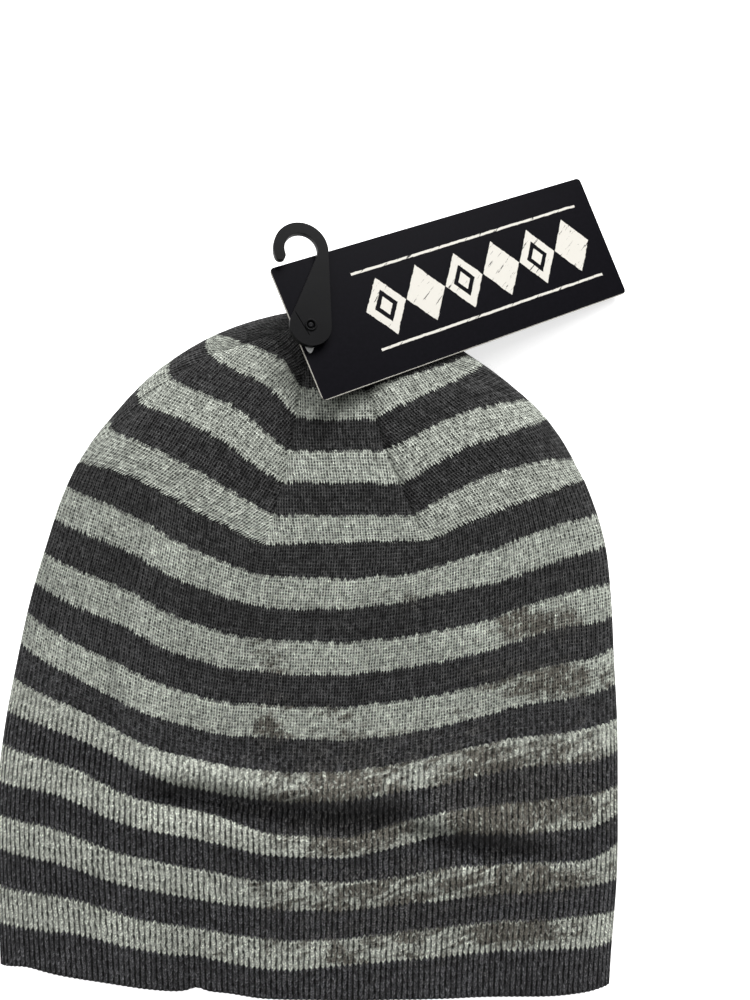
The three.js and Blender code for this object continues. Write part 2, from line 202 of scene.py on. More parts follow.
def row_y(theta, v):
    theta, v = np.broadcast_arrays(np.asarray(theta, float), np.asarray(v, float))
    c = np.clip(np.cos(theta), -1, 1)
    front = np.sin(theta) >= 0
    fi = (c + 1) / 2 * (len(C) - 1)
    i = np.clip(np.floor(fi).astype(int), 0, len(C) - 2)
    f = fi - i
    k = np.clip(np.searchsorted(VS, v, side="right") - 1, 0, len(VS) - 2)
    t = (v - VS[k]) / (VS[k + 1] - VS[k])

    def at(T, kk):
        kk = np.clip(kk, 0, len(VS) - 1)
        return T[kk, i] * (1 - f) + T[kk, i + 1] * f

    def cubic(T):
        p0, p1, p2, p3 = at(T, k - 1), at(T, k), at(T, k + 1), at(T, k + 2)
        x0, x1, x2, x3 = (VS[np.clip(k + d, 0, len(VS) - 1)] for d in (-1, 0, 1, 2))
        h = x2 - x1
        m1 = np.where(x2 > x0, (p2 - p0) / np.maximum(x2 - x0, 1e-6), 0) * h
        m2 = np.where(x3 > x1, (p3 - p1) / np.maximum(x3 - x1, 1e-6), 0) * h
        lo = 3 * np.maximum(p2 - p1, 0)
        m1, m2 = np.clip(m1, 0, lo), np.clip(m2, 0, lo)
        t2, t3 = t * t, t * t * t
        return (2 * t3 - 3 * t2 + 1) * p1 + (t3 - 2 * t2 + t) * m1 + (3 * t2 - 2 * t3) * p2 + (t3 - t2) * m2

    return np.minimum(np.where(front, cubic(FRONT), cubic(BACK)), CROWN_Y - 1e-4)


# ------------------------------------------------------------------ dart seams
def seam_theta(table):
    vs, th = [], []
    for v, p in table:
        vs.append(v)
        th.append(math.acos(from_frame(*p)[0]) if isinstance(p, tuple) else math.radians(p))
    return np.array(vs), np.array(th)


SEAMS = {
    "front_left": seam_theta([(k, DART_L[k]) for k in range(15, 23)]),
    "front_right": seam_theta([(k, DART_R[k]) for k in range(15, 23)]),
    "side_left": seam_theta([(15, 180.0), (16.0, (110, 431)), (17.0, (138, 404)), (18.0, (172, 376)), (19.0, (208, 356)), (20.0, (246, 340)), (21.2, (285, 329)), (22.2, (303, 322))]),
    "side_right": seam_theta([(15, 0.0), (16.1, 9.0), (16.9, (543, 424)), (18.0, (514, 400)), (18.9, (476, 377)), (20.2, (436, 354)), (21.3, (398, 336)), (22.2, (370, 322))]),
    "back_left": (np.array([15, 19, 22.7]), np.radians([257, 260, 262])),
    "back_right": (np.array([15, 19, 22.7]), np.radians([291, 286, 283])),
}


def seam_at(name, v):
    vs, th = SEAMS[name]
    return hermite(vs, th, v)


# ------------------------------------------------------------------ folds of the soft fabric
def fold_line(pts):
    p = []
    for x, y in pts:
        c, yy = from_frame(x, y)
        xl, xr = edges_at(yy)
        p.append(((xl + xr) / 2 + (xr - xl) / 2 * c, yy))
    p = np.array(p)
    return p[:, 0], p[:, 1]


FOLD_A = fold_line([(120, 788), (150, 790), (200, 791), (236, 799), (271, 805), (307, 811), (343, 813), (388, 812), (420, 811)])
FOLD_B = fold_line([(392, 839), (409, 834), (424, 829), (461, 840), (502, 845), (543, 850), (575, 853)])


def smooth(a, b, x):
    t = np.clip((x - a) / (b - a), 0, 1)
    return t * t * (3 - 2 * t)


TAG_PIN = np.array([2.25184, 108.56798, 37.57469])  # where the tag's pin meets its face, and the tag's axes
TAG_U = np.array([0.88370624, 0.36279475, -0.29570805])
TAG_V = np.array([-0.3797791, 0.92507721, 0.0])
TAG_N = np.array([0.27355278, 0.11230374, 0.95527836])
BACK_SEAM_X = 500.0 * (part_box("back_seam")[0][0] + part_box("back_seam")[1][0])
WAVES = [(rng.uniform(-1, 1) * 0.35, rng.uniform(-1, 1), rng.uniform(-1, 1), rng.uniform(18, 46), rng.uniform(0, 6.28)) for _ in range(14)]


def shaped(theta, v):
    """The hat with its folds, troughs and seam grooves, in mm."""
    theta, v = np.broadcast_arrays(np.asarray(theta, float), np.asarray(v, float))
    y = row_y(theta, v)
    p = on_hat(theta, y)
    x = p[..., 0]
    front = np.clip(np.sin(theta) * 4.0, 0, 1)  # fades to nothing at the side edges
    dz = np.zeros_like(x)
    dy = np.zeros_like(x)
    for (fx, fy), deep, lo, hi in ((FOLD_A, 1.0, 14, 12), (FOLD_B, 0.8, 9, 26)):
        line = np.interp(x, fx, fy)
        win = smooth(fx[0], fx[0] + lo * 1.6, x) * (1 - smooth(fx[-1] - hi, fx[-1], x)) * deep
        d = y - line
        under = np.where(d < -1.4, 6.0, 2.6)
        dz += win * (-6.7 * np.exp(-(((d + 1.4) / under) ** 2)) + 4.4 * np.exp(-(((d - 6.0) / 5.0) ** 2)))
        dy -= win * 0.8 * np.exp(-(((d - 3.0) / 2.6) ** 2))
    # a soft trough down the left, from the crown to the hem
    tx = np.interp(y, [-114, -60, 0, 45], [-67, -65, -66, -60])
    dz -= 3.0 * np.exp(-(((x - tx) / 7.5) ** 2)) * (1 - smooth(30, 66, y))
    dz += 1.5 * np.exp(-(((x - tx - 16) / 9.0) ** 2)) * (1 - smooth(20, 60, y))
    # loose, uneven lie of the fabric
    for amp, ax, ay, wl, ph in WAVES:
        dz += amp * np.sin((x * ax + y * ay) * 2 * math.pi / wl + ph)
    hem = 1 - smooth(0, 1.6, v)
    dz += hem * (0.6 * np.sin(x / 15.0 + 1.0) + 0.25 * np.sin(x / 6.1))
    dz *= front
    dy *= front
    # the seam that closes the blank, down the middle of the back
    dz += 0.75 * np.exp(-(((x - BACK_SEAM_X) / 0.9) ** 2)) * (np.sin(theta) < 0) * (1 - smooth(15.0, 15.6, v))
    dy += hem * 0.15 * np.sin(x / 5.3 + 2.0)
    # a small nick where the hem was closed
    c_nick, y_nick = from_frame(196, 990)
    xl, xr = edges_at(y_nick)
    x_nick = (xl + xr) / 2 + (xr - xl) / 2 * c_nick
    dy += hem * 1.2 * np.exp(-(((x - x_nick) / 3.0) ** 2)) * (np.sin(theta) > 0)
    p = p.copy()
    p[..., 1] = np.minimum(p[..., 1] + dy, CROWN_Y)
    z = np.maximum(p[..., 2] + dz, 0)
    k = (CAM[2] - z) / (CAM[2] - p[..., 2])  # a fold stays where it is seen from above
    near = np.clip(np.sin(theta) * 6.0, 0, 1)
    k = 1 + (k - 1) * near
    p[..., 0] = CAM[0] + (p[..., 0] - CAM[0]) * k
    p[..., 1] = np.minimum(CAM[1] + (p[..., 1] - CAM[1]) * k, CROWN_Y)
    p[..., 2] = z
    # room under the hang tag, which turns in its own plane
    rel = p - TAG_PIN
    over = rel @ TAG_N + 1.35
    reach = smooth(-38, -30, rel @ TAG_V) * smooth(-12, -6, rel @ TAG_U) * np.clip(np.sin(theta) * 8, 0, 1)
    p[..., 2] = p[..., 2] - np.maximum(over, 0) * reach / TAG_N[2]
    return p


def grid_normals(p, wrap):
    """Unit normals of a grid of points [row][column], out of the hat."""
    if wrap:
        du = np.roll(p, -1, 1) - np.roll(p, 1, 1)
    else:
        du = np.gradient(p, axis=1)
    dv = np.gradient(p, axis=0)
    n = np.cross(dv, du)
    n /= np.maximum(np.linalg.norm(n, axis=-1, keepdims=True), 1e-9)
    return n


# ------------------------------------------------------------------ mesh helpers
def new_mesh(name, verts, faces, uvs=None, smooth_faces=True):
    """verts in mm. uvs: {layer: per-face-corner array}"""
    me = bpy.data.meshes.new(name)
    me.from_pydata((np.asarray(verts) * MM).tolist(), [], faces)
    for layer, data in (uvs or {}).items():
        me.uv_layers.new(name=layer)
        me.uv_layers[layer].data.foreach_set("uv", np.asarray(data, np.float32).ravel())
    if smooth_faces:
        me.polygons.foreach_set("use_smooth", [True] * len(me.polygons))
    me.update()
    ob = bpy.data.objects.new(name, me)
    bpy.context.scene.collection.objects.link(ob)
    return ob


RIB = 1.86  # mm from rib to rib
COURSES = 10  # courses of stitches in a stripe
KNIT = 2.8  # thickness of a layer


def rib_height(U, v, amp):
    """Ribs as real relief, mm; U counts ribs."""
    w = np.cos(2 * np.pi * (U - 0.5))
    return amp * np.sign(w) * np.abs(w) ** 0.8


def knit_piece(name, theta, U, v, amp, cols_bake, close_sides, bake_flip=False, normals=None, points=None, hem=False):
    """A closed layer of knit from grids theta, U, v [row][column]: the outer face at full detail,
    the inner face at a quarter of its columns and half its rows."""
    rows, cols = theta.shape
    base = shaped(theta, v) if points is None else points
    nrm = grid_normals(base, False) if normals is None else normals
    outer = base + nrm * rib_height(U, v, amp)[..., None]
    verts = [outer.reshape(-1, 3)]
    idx = np.arange(rows * cols).reshape(rows, cols)
    faces, uv_knit, uv_bake = [], [], []
    knit_uv = np.stack([U, v * COURSES], -1)
    s = np.linspace(0, 1, cols)
    t = np.linspace(0, 1, rows)
    bake = np.stack(np.broadcast_arrays(s[None, :], t[:, None]), -1)
    span_u, span_v = cols_bake  # share of the map the outer face takes
    bake = bake * np.array([span_u, span_v])

    def quad_block(id4, kuv, buv):
        a, b, c, d = id4[:-1, :-1], id4[:-1, 1:], id4[1:, 1:], id4[1:, :-1]
        f = np.stack([a, d, c, b], -1).reshape(-1, 4)
        faces.extend(f.tolist())
        for store, g in ((uv_knit, kuv), (uv_bake, buv)):
            q = np.stack([g[:-1, :-1], g[1:, :-1], g[1:, 1:], g[:-1, 1:]], -2).reshape(-1, 2)
            store.append(q)

    quad_block(idx, knit_uv, bake)
    count = rows * cols
    # lower edge: rolls over to the inside
    edge_rows = []
    if hem:
        down = base[0] - base[1]
        down /= np.maximum(np.linalg.norm(down, axis=-1, keepdims=True), 1e-9)
        for out, deep in ((0.55, 0.45), (0.8, 1.4), (0.55, 2.4), (0.0, KNIT)):
            w = rib_height(U[0], v[0], amp)[..., None]
            edge_rows.append(base[0] + down * out - nrm[0] * deep + nrm[0] * w * (1 - deep / KNIT) * 0.9)
    ids = [idx[0]]
    for r in edge_rows:
        verts.append(r)
        ids.append(np.arange(count, count + cols))
        count += cols
    if edge_rows:
        ring = np.stack(ids[::-1])
        kuv = np.stack([np.stack([U[0], np.full(cols, 0.3 * i)], -1) for i in range(len(ids))][::-1])
        buv = np.stack([np.stack([s * span_u, np.full(cols, -0.0 + 0.012 * (len(ids) - 1 - i))], -1) for i in range(len(ids))][::-1])
        buv[..., 1] = 0.985 - 0.004 * np.arange(len(ids))[:, None]
        quad_block(ring, kuv, buv)
    low_edge = ids[-1]
    # inner face
    rs = np.unique(np.concatenate([np.arange(0, rows - 1, 3), [rows - 1]]))
    cs = np.unique(np.concatenate([np.arange(0, cols - 1, 4), [cols - 1]]))
    inner = base[np.ix_(rs, cs)] - nrm[np.ix_(rs, cs)] * KNIT
    inner[..., 2] = np.where(np.sin(theta[np.ix_(rs, cs)]) < -0.2, np.minimum(np.maximum(inner[..., 2], KNIT), 12.0), inner[..., 2])
    if hem:
        inner = inner[1:]
        rsi = rs[1:]
    else:
        rsi = rs
    ni, nj = inner.shape[:2]
    iid = np.arange(count, count + ni * nj).reshape(ni, nj)
    verts.append(inner.reshape(-1, 3))
    count += ni * nj
    kin = knit_uv[np.ix_(rsi, cs)]
    bin_ = np.stack(np.broadcast_arrays((cs / (cols - 1) * span_u)[None, :], (span_v + 0.012 + (0.965 - span_v - 0.012) * rsi / (rows - 1))[:, None]), -1)
    quad_block(iid[:, ::-1], kin[:, ::-1], bin_[:, ::-1])

    def bridge(fine_ids, fine_k, coarse_ids, coarse_k, steps, flip, band):
        for j in range(len(coarse_ids) - 1):
            f = list(range(steps[j], steps[j + 1] + 1))
            loop = [int(fine_ids[i]) for i in f] + [int(coarse_ids[j + 1]), int(coarse_ids[j])]
            k = [fine_k[i] for i in f] + [coarse_k[j + 1], coarse_k[j]]
            b = [np.array([0.002 + 0.9 * i / len(fine_ids) * span_u, band]) for i in f]
            b += [np.array([b[-1][0], band + 0.003]), np.array([b[0][0], band + 0.003])]
            if flip:
                loop, k, b = loop[::-1], k[::-1], b[::-1]
            faces.append(loop)
            uv_knit.append(np.array(k))
            uv_bake.append(np.array(b))

    low_k = np.stack([U[0], np.full(cols, v[0, 0] * COURSES)], -1)
    bridge(low_edge, low_k, iid[0], kin[0], cs, False, 0.968)
    bridge(idx[-1], knit_uv[-1], iid[-1], kin[-1], cs, True, 0.972)
    if close_sides:
        for col, jc, flip in ((0, 0, True), (cols - 1, nj - 1, False)):
            fine = [int(idx[r, col]) for r in range(rows)]
            fine_k = [knit_uv[r, col] for r in range(rows)]
            first = int(rsi[0])
            if hem:  # the rolled edge's own end
                loop = fine[: first + 1] + [int(iid[0, jc])] + [int(r[col]) for r in ids[:0:-1]]
                if flip:
                    loop = loop[::-1]
                faces.append(loop)
                uv_knit.append(np.tile(knit_uv[0, col], (len(loop), 1)))
                uv_bake.append(np.stack([0.95 + 0.01 * np.cos(np.arange(len(loop))), 0.99 + 0.004 * np.sin(np.arange(len(loop)))], -1))
            bridge(fine[first:], fine_k[first:], [int(iid[r, jc]) for r in range(ni)], [kin[r, jc] for r in range(ni)], np.asarray(rsi) - first, flip, 0.976)
    uv = {"KnitUV": np.concatenate(uv_knit), "OFBake": np.concatenate(uv_bake)}
    ob = new_mesh(name, np.concatenate(verts), faces, uv)
    ob.data.set_sharp_from_angle(angle=math.radians(66))  # a cut edge stays crisp beside its neighbour
    return ob, nrm


# ------------------------------------------------------------------ build the knit
NR = 242  # ribs round the hat
PER = 4
vt = np.linspace(0, 15, 79)
# columns spread evenly by distance round the hat at its middle
fine_t = np.linspace(0, 2 * math.pi, 4001)
ringp = on_hat(fine_t, np.full_like(fine_t, -30.0))
arc = np.concatenate([[0], np.cumsum(np.linalg.norm(np.diff(ringp, axis=0), axis=1))])
arc /= arc[-1]
J = NR * PER
theta_cols = np.interp(np.arange(J) / J, arc, fine_t)
TH, VV = np.meshgrid(theta_cols, vt)
UU = np.tile(np.arange(J) / PER, (len(vt), 1))
ring = shaped(TH, VV)
ring_n = grid_normals(ring, True)
half = int(np.argmin(np.abs(theta_cols - math.pi)))
half = half // PER * PER
parts = {}
for name, sel in (("knit_body_front", np.arange(0, half + 1)), ("knit_body_back", np.concatenate([np.arange(half, J), [0]]))):
    u = UU[:, sel].copy()
    if name.endswith("back"):
        u[:, -1] = NR
    ob, _ = knit_piece(name, TH[:, sel], u, VV[:, sel], 0.20, (0.998, 0.74), True, normals=ring_n[:, sel], points=ring[:, sel], hem=True)
    parts[name] = ob

GORES = [
    ("front", "front_right", "front_left", 0), ("front_left", "front_left", "side_left", 0),
    ("back_left", "side_left", "back_left", 0), ("back", "back_left", "back_right", 0),
    ("back_right", "back_right", "side_right", 2 * math.pi), ("front_right", "side_right", "front_right", 0),
]
vg = np.concatenate([np.linspace(15, 21.5, 46), 21.5 + (22.62 - 21.5) * np.linspace(0, 1, 12)[1:]])
seam_u0 = {}
for gname, a, b, wrap in GORES:
    ta, tb = seam_at(a, vg), seam_at(b, vg) + wrap
    # width of each row, to count its ribs from the gore's middle outwards
    fr = np.linspace(0, 1, 60)
    th = ta[:, None] * (1 - fr) + tb[:, None] * fr
    pts = shaped(th, vg[:, None])
    seg = np.linalg.norm(np.diff(pts, axis=1), axis=2)
    width = seg.sum(1)
    n_rib = max(int(round(width[0] / RIB)), 6)
    cols = n_rib * PER + 1
    f = np.linspace(0, 1, cols)
    # even spacing by distance within each row
    cum = np.concatenate([np.zeros((len(vg), 1)), np.cumsum(seg, 1)], 1)
    cum /= cum[:, -1:]
    ff = np.array([np.interp(f, cum[i], fr) for i in range(len(vg))])
    th = ta[:, None] * (1 - ff) + tb[:, None] * ff
    V2 = np.repeat(vg[:, None], cols, 1)
    U2 = (f[None, :] - 0.5) * (width / RIB)[:, None] + 500 + 60 * len(seam_u0)
    seam_u0[gname] = 1
    p = shaped(th, V2)
    n = grid_normals(p, False)
    groove = 0
    for edge_name, dist_ in ((a, f), (b, 1 - f)):
        d = dist_[None, :] * width[:, None]
        groove = groove + (0.3 if edge_name.startswith("side") else 1.0) * (-1.1 * np.exp(-((d / 0.95) ** 2)) - 0.5 * np.exp(-((d / 3.0) ** 2)) + 0.35 * np.exp(-(((d - 6.5) / 4.0) ** 2)))
    start = 0.12 + 0.88 * smooth(15.0, 15.9, V2)
    puck = 1 + 0.25 * np.sin(V2 * 2 * math.pi * 2.6)
    depth = groove * start * puck * np.clip(width[:, None] / 22.0, 0.3, 1)
    p = p + n * depth[..., None]
    p[..., 2] = np.maximum(p[..., 2], 0)
    n = grid_normals(p, False)
    ob, _ = knit_piece("knit_gore_" + gname, th, U2, V2, 0.10, (0.998, 0.72), True, normals=n, points=p)
    parts["knit_gore_" + gname] = ob

# ------------------------------------------------------------------ node helpers
class Val:
    """A number in a node tree, with arithmetic."""

    def __init__(self, tree, sock):
        self.t, self.s = tree, sock

    def _m(self, op, *others, clamp=False):
        n = self.t.nodes.new("ShaderNodeMath")
        n.operation = op
        n.use_clamp = clamp
        self.t.links.new(self.s, n.inputs[0])
        for i, o in enumerate(others, 1):
            if isinstance(o, Val):
                self.t.links.new(o.s, n.inputs[i])
            else:
                n.inputs[i].default_value = o
        return Val(self.t, n.outputs[0])

    def __add__(self, o):
        return self._m("ADD", o)

    def __sub__(self, o):
        return self._m("SUBTRACT", o)

    def __mul__(self, o):
        return self._m("MULTIPLY", o)

    def __truediv__(self, o):
        return self._m("DIVIDE", o)

    __radd__ = __add__
    __rmul__ = __mul__

    def __rsub__(self, o):
        return (self * -1.0) + o

    def fract(self):
        return self._m("FRACT")

    def floor(self):
        return self._m("FLOOR")

    def abs(self):
        return self._m("ABSOLUTE")

    def mod(self, o):
        return self._m("FLOORED_MODULO", o)

    def max(self, o):
        return self._m("MAXIMUM", o)

    def min(self, o):
        return self._m("MINIMUM", o)

    def sin(self):
        return self._m("SINE")

    def exp(self):
        return self._m("EXPONENT")

    def above(self, o):
        return self._m("GREATER_THAN", o)

    def clamp(self):
        return self._m("ADD", 0.0, clamp=True)

    def step(self, a, b, lo=0.0, hi=1.0):
        n = self.t.nodes.new("ShaderNodeMapRange")
        n.interpolation_type = "SMOOTHSTEP"
        self.t.links.new(self.s, n.inputs["Value"])
        n.inputs["From Min"].default_value, n.inputs["From Max"].default_value = a, b
        n.inputs["To Min"].default_value, n.inputs["To Max"].default_value = lo, hi
        return Val(self.t, n.outputs["Result"])

    def mix(self, a, b):
        """a where this is 0, b where it is 1"""
        return (b - a) * self + a if isinstance(a, Val) or isinstance(b, Val) else self * (b - a) + a


class Mat:
    def __init__(self, name, rough=0.5, spec=0.5):
        self.m = bpy.data.materials.new(name)
        self.m.use_nodes = True
        self.t = self.m.node_tree
        self.t.nodes.clear()
        self.out = self.t.nodes.new("ShaderNodeOutputMaterial")
        self.b = self.t.nodes.new("ShaderNodeBsdfPrincipled")
        self.t.links.new(self.b.outputs[0], self.out.inputs["Surface"])
        self.b.inputs["Roughness"].default_value = rough
        self.b.inputs["Specular IOR Level"].default_value = spec

    def uv(self, layer):
        n = self.t.nodes.new("ShaderNodeUVMap")
        n.uv_map = layer
        return n.outputs[0]

    def object(self):
        return self.t.nodes.new("ShaderNodeTexCoord").outputs["Object"]

    def split(self, vec):
        n = self.t.nodes.new("ShaderNodeSeparateXYZ")
        self.t.links.new(vec, n.inputs[0])
        return [Val(self.t, o) for o in n.outputs]

    def join(self, x, y, z=0.0):
        n = self.t.nodes.new("ShaderNodeCombineXYZ")
        for i, o in enumerate((x, y, z)):
            if isinstance(o, Val):
                self.t.links.new(o.s, n.inputs[i])
            else:
                n.inputs[i].default_value = o
        return n.outputs[0]

    def noise(self, vec, scale, detail=2.0, rough=0.5, warp=0.0):
        n = self.t.nodes.new("ShaderNodeTexNoise")
        self.t.links.new(vec, n.inputs["Vector"])
        n.inputs["Scale"].default_value = scale
        n.inputs["Detail"].default_value = detail
        n.inputs["Roughness"].default_value = rough
        n.inputs["Distortion"].default_value = warp
        return Val(self.t, n.outputs[0])

    def white(self, vec):
        n = self.t.nodes.new("ShaderNodeTexWhiteNoise")
        n.noise_dimensions = "3D"
        self.t.links.new(vec, n.inputs["Vector"])
        return Val(self.t, n.outputs["Value"])

    def rgb(self, fac, a, b):
        """Colour a where fac is 0, b where it is 1; a and b are linear colours or sockets."""
        n = self.t.nodes.new("ShaderNodeMix")
        n.data_type = "RGBA"
        self.t.links.new(fac.s, n.inputs[0])
        for i, c in ((6, a), (7, b)):
            if isinstance(c, bpy.types.NodeSocket):
                self.t.links.new(c, n.inputs[i])
            else:
                n.inputs[i].default_value = (*c, 1.0)
        return n.outputs[2]

    def scale(self, col, val):
        """Colour times a number."""
        n = self.t.nodes.new("ShaderNodeVectorMath")
        n.operation = "SCALE"
        self.t.links.new(col, n.inputs[0])
        self.t.links.new(val.s, n.inputs["Scale"])
        return n.outputs[0]

    def color(self, sock):
        self.t.links.new(sock, self.b.inputs["Base Color"])

    def bump(self, h, dist, strength=1.0):
        n = self.t.nodes.new("ShaderNodeBump")
        n.inputs["Distance"].default_value = dist
        n.inputs["Strength"].default_value = strength
        self.t.links.new(h.s, n.inputs["Height"])
        self.t.links.new(n.outputs[0], self.b.inputs["Normal"])

    def rough(self, v):
        self.t.links.new(v.s, self.b.inputs["Roughness"])


def lin(*rgb):
    return tuple((c / 255 / 12.92) if c / 255 <= 0.04045 else (((c / 255) + 0.055) / 1.055) ** 2.4 for c in rgb)


# ------------------------------------------------------------------ materials
def knit_material():
    m = Mat("knit", rough=0.95, spec=0.06)
    m.b.inputs["Sheen Weight"].default_value = 0.05
    m.b.inputs["Sheen Roughness"].default_value = 0.55
    ob = m.object()
    X, Y, Z = m.split(ob)
    U, V, _ = m.split(m.uv("KnitUV"))
    fray = m.noise(ob, 900.0, 2.0, 0.6)
    U = U + (m.noise(ob, 260.0, 1.0) - 0.5) * 0.34
    V = V + (m.noise(ob, 210.0, 1.0) - 0.5) * 0.5
    rib = U.fract()
    tri = (rib - 0.5).abs() * 2.0  # 0 at a rib's ridge, 1 in the groove
    tri2 = 1.0 - ((U * 2.0).fract() - 0.5).abs() * 2.0  # 1 between the opened columns
    crown = (V / COURSES).step(6.6, 10.2)
    chev = crown.mix(tri * 0.95, tri2 * 0.9)
    leg = (U * 2.0).floor()
    loose = m.white(m.join(leg, (V - 0.5).floor(), 21.0))
    Vc = V - chev + (fray - 0.5) * 0.8 + (m.white(m.join(leg, 2.0, 17.0)) - 0.5) * crown.mix(0.4, 1.1)
    course = Vc.floor()
    fc = (Vc.fract() - 0.5).abs() * 2.0  # 1 between two courses
    rnd = m.white(m.join(leg, course, 3.0))
    rnd2 = m.white(m.join(course, 7.0, 1.0))
    rnd3 = m.white(m.join(U.floor(), 5.0, 9.0))
    dark = ((course.max(0.0).min(21.0 * COURSES - 1.0) + 0.5) / (2.0 * COURSES)).fract().above(0.5)  # 0 dark stripe, 1 light
    # hollows between the stitches: below, the colour is darkened there as painted shade, and the bump sinks them
    closed = tri.step(0.30, 0.80) * (loose * 0.65 + 0.52)
    closed = closed.max(fc.step(0.35, 0.95) * (rnd * 0.35 + 0.35)).max(tri.step(0.30, 0.0) * (rnd * 0.5 + 0.1))
    hv = (V.fract() - 0.5).abs() * 2.0
    hole = tri2.step(0.12, 0.66) * hv.step(-0.05, 0.60) * (loose * 0.60 + 0.55)
    opened = hole.max(tri2.step(0.45, 1.0) * 0.55).max(fc.step(0.5, 1.0) * 0.30)
    hollow = crown.mix(closed, opened).clamp()
    fuzz = m.noise(ob, 2600.0, 3.0, 0.7)
    mottle = m.noise(ob, 34.0, 3.0, 0.55)
    # painted shade: the colour darkens in the hollows, then varies with per-stitch, fibre and mottle tone that differs
    # at random
    painted_shade_and_tone = 1.0 - hollow * crown.mix(0.95, 0.88)
    painted_shade_and_tone = painted_shade_and_tone * (rnd * crown.mix(1.0, 0.76) + crown.mix(0.52, 0.63)) * (rnd2 * 0.16 + 0.92) * (rnd3 * 0.16 + 0.92) * (fuzz.step(0.36, 0.66) * crown.mix(0.85, 0.72) + crown.mix(0.58, 0.63)) * (mottle * 0.36 + 0.82)
    # light yarn, with a worn and speckled print over it; the patch just below the fold is print and painted shadow of
    # the fold
    light = m.rgb(crown, lin(*LIGHT_LOW), lin(*LIGHT_TOP))
    blot = None
    for x, y, rx, ry, amp in PATCHES:
        e = ((X * 1000.0 - x) / rx), ((Y * 1000.0 - y) / ry)
        g = ((e[0] * e[0] + e[1] * e[1]) * -1.0).exp() * amp
        blot = g if blot is None else blot.max(g)
    strokes = m.noise(m.join(X * 1.0, Y * 1.0, X * 0.4), 75.0, 5.0, 0.62, 1.4)
    streak = m.noise(m.join(X * 0.55 + Y * 0.5, Y * 2.6 - X * 0.9, 0.0), 120.0, 4.0, 0.6, 0.6)
    grit = m.white(m.join(leg, course, 11.0))
    print_and_shade = (blot + (strokes - 0.5) * 1.5 + (streak - 0.5) * 1.5).step(0.30, 0.66)
    print_and_shade = print_and_shade * (grit * 0.65 + fray * 0.7 - tri * 0.25 + blot * 0.2).step(0.22, 0.62) * Z.step(0.013, 0.017)
    light = m.rgb(print_and_shade * 0.9, light, lin(*PRINT_AND_SHADE))
    darkc = m.rgb(((V / COURSES)).step(2.0, 14.0), lin(*DARK_LOW), lin(*DARK_TOP))
    darkc = m.rgb(print_and_shade * 0.35, darkc, lin(*DARK_PRINT_AND_SHADE))
    # the dark yarn takes the painted shade of the hollows twice, so its hollows are painted darker still
    col = m.rgb(dark, m.scale(darkc, (painted_shade_and_tone * 0.85 + 0.32).min(1.5)), light)
    m.color(m.scale(col, painted_shade_and_tone))
    height = (1.0 - hollow) + fuzz * 0.30 + rnd * 0.2 + (1.0 - fc * fc) * 0.22
    m.bump(height, 0.00045, 1.0)
    return m.m


LIGHT_LOW, LIGHT_TOP = (222, 226, 214), (203, 208, 197)
DARK_LOW, DARK_TOP = (84, 84, 86), (66, 66, 66)
PRINT_AND_SHADE, DARK_PRINT_AND_SHADE = (100, 94, 85), (92, 90, 86)
PATCHES = [
    (80.7, 13.1, 24, 7, 0.74), (34.6, 21.3, 20, 4.5, 0.46), (80.0, -5.0, 28, 9, 0.78), (-10.8, -18, 9, 30, 0.60),
    (11.6, -42.8, 36, 26, 0.70), (69.2, -42.8, 36, 26, 0.92), (29.7, -84, 56, 28, 0.62), (72, -76, 36, 9, 0.86),
    # the first patch here, just below the fold, is print and painted shadow of the fold
    (15.0, -57, 27, 8, 1.0), (70, -91, 24, 7, 0.90),
]


def thread_material(name, a, b, pitch, axis="Y"):
    """Overlocked or twisted thread: fine strands that run across the length."""
    m = Mat(name, rough=0.85, spec=0.25)
    m.b.inputs["Sheen Weight"].default_value = 0.15
    ob = m.object()
    U, V, _ = m.split(m.uv("KnitUV"))
    wob = m.noise(ob, 700.0, 2.0)
    s = ((V + wob * 0.3 + U * 0.5) * (1.0 / pitch)).fract()
    line = 1.0 - (s - 0.5).abs() * 2.0
    tone = m.noise(ob, 2400.0, 3.0, 0.7)
    # painted shade: the colour is darker between the strands
    m.color(m.scale(m.rgb(tone, lin(*a), lin(*b)), line.step(0.0, 0.5) * 0.5 + 0.55))
    m.bump(line.step(0.0, 0.6) + tone * 0.3, 0.00025, 0.9)
    return m.m


def satin_material():
    m = Mat("label_satin", rough=0.42, spec=0.5)
    m.b.inputs["Sheen Weight"].default_value = 0.25
    U, V, _ = m.split(m.uv("KnitUV"))
    warp = ((U * 5.0).fract() - 0.5).abs() * 2.0
    weft = ((V * 4.0 + (U * 5.0).floor() * 0.4).fract() - 0.5).abs() * 2.0
    ob = m.object()
    tone = m.noise(ob, 500.0, 2.0)
    edge = U.step(0.3, 0.9) * U.step(17.7, 17.1)
    m.color(m.scale(m.rgb(tone, lin(222, 222, 218), lin(240, 240, 237)), (warp * 0.10 + 0.86) * (edge * 0.12 + 0.88)))
    m.bump(warp * 0.6 + weft * 0.5, 0.00006, 0.8)
    m.rough(tone * 0.2 + 0.34)
    return m.m


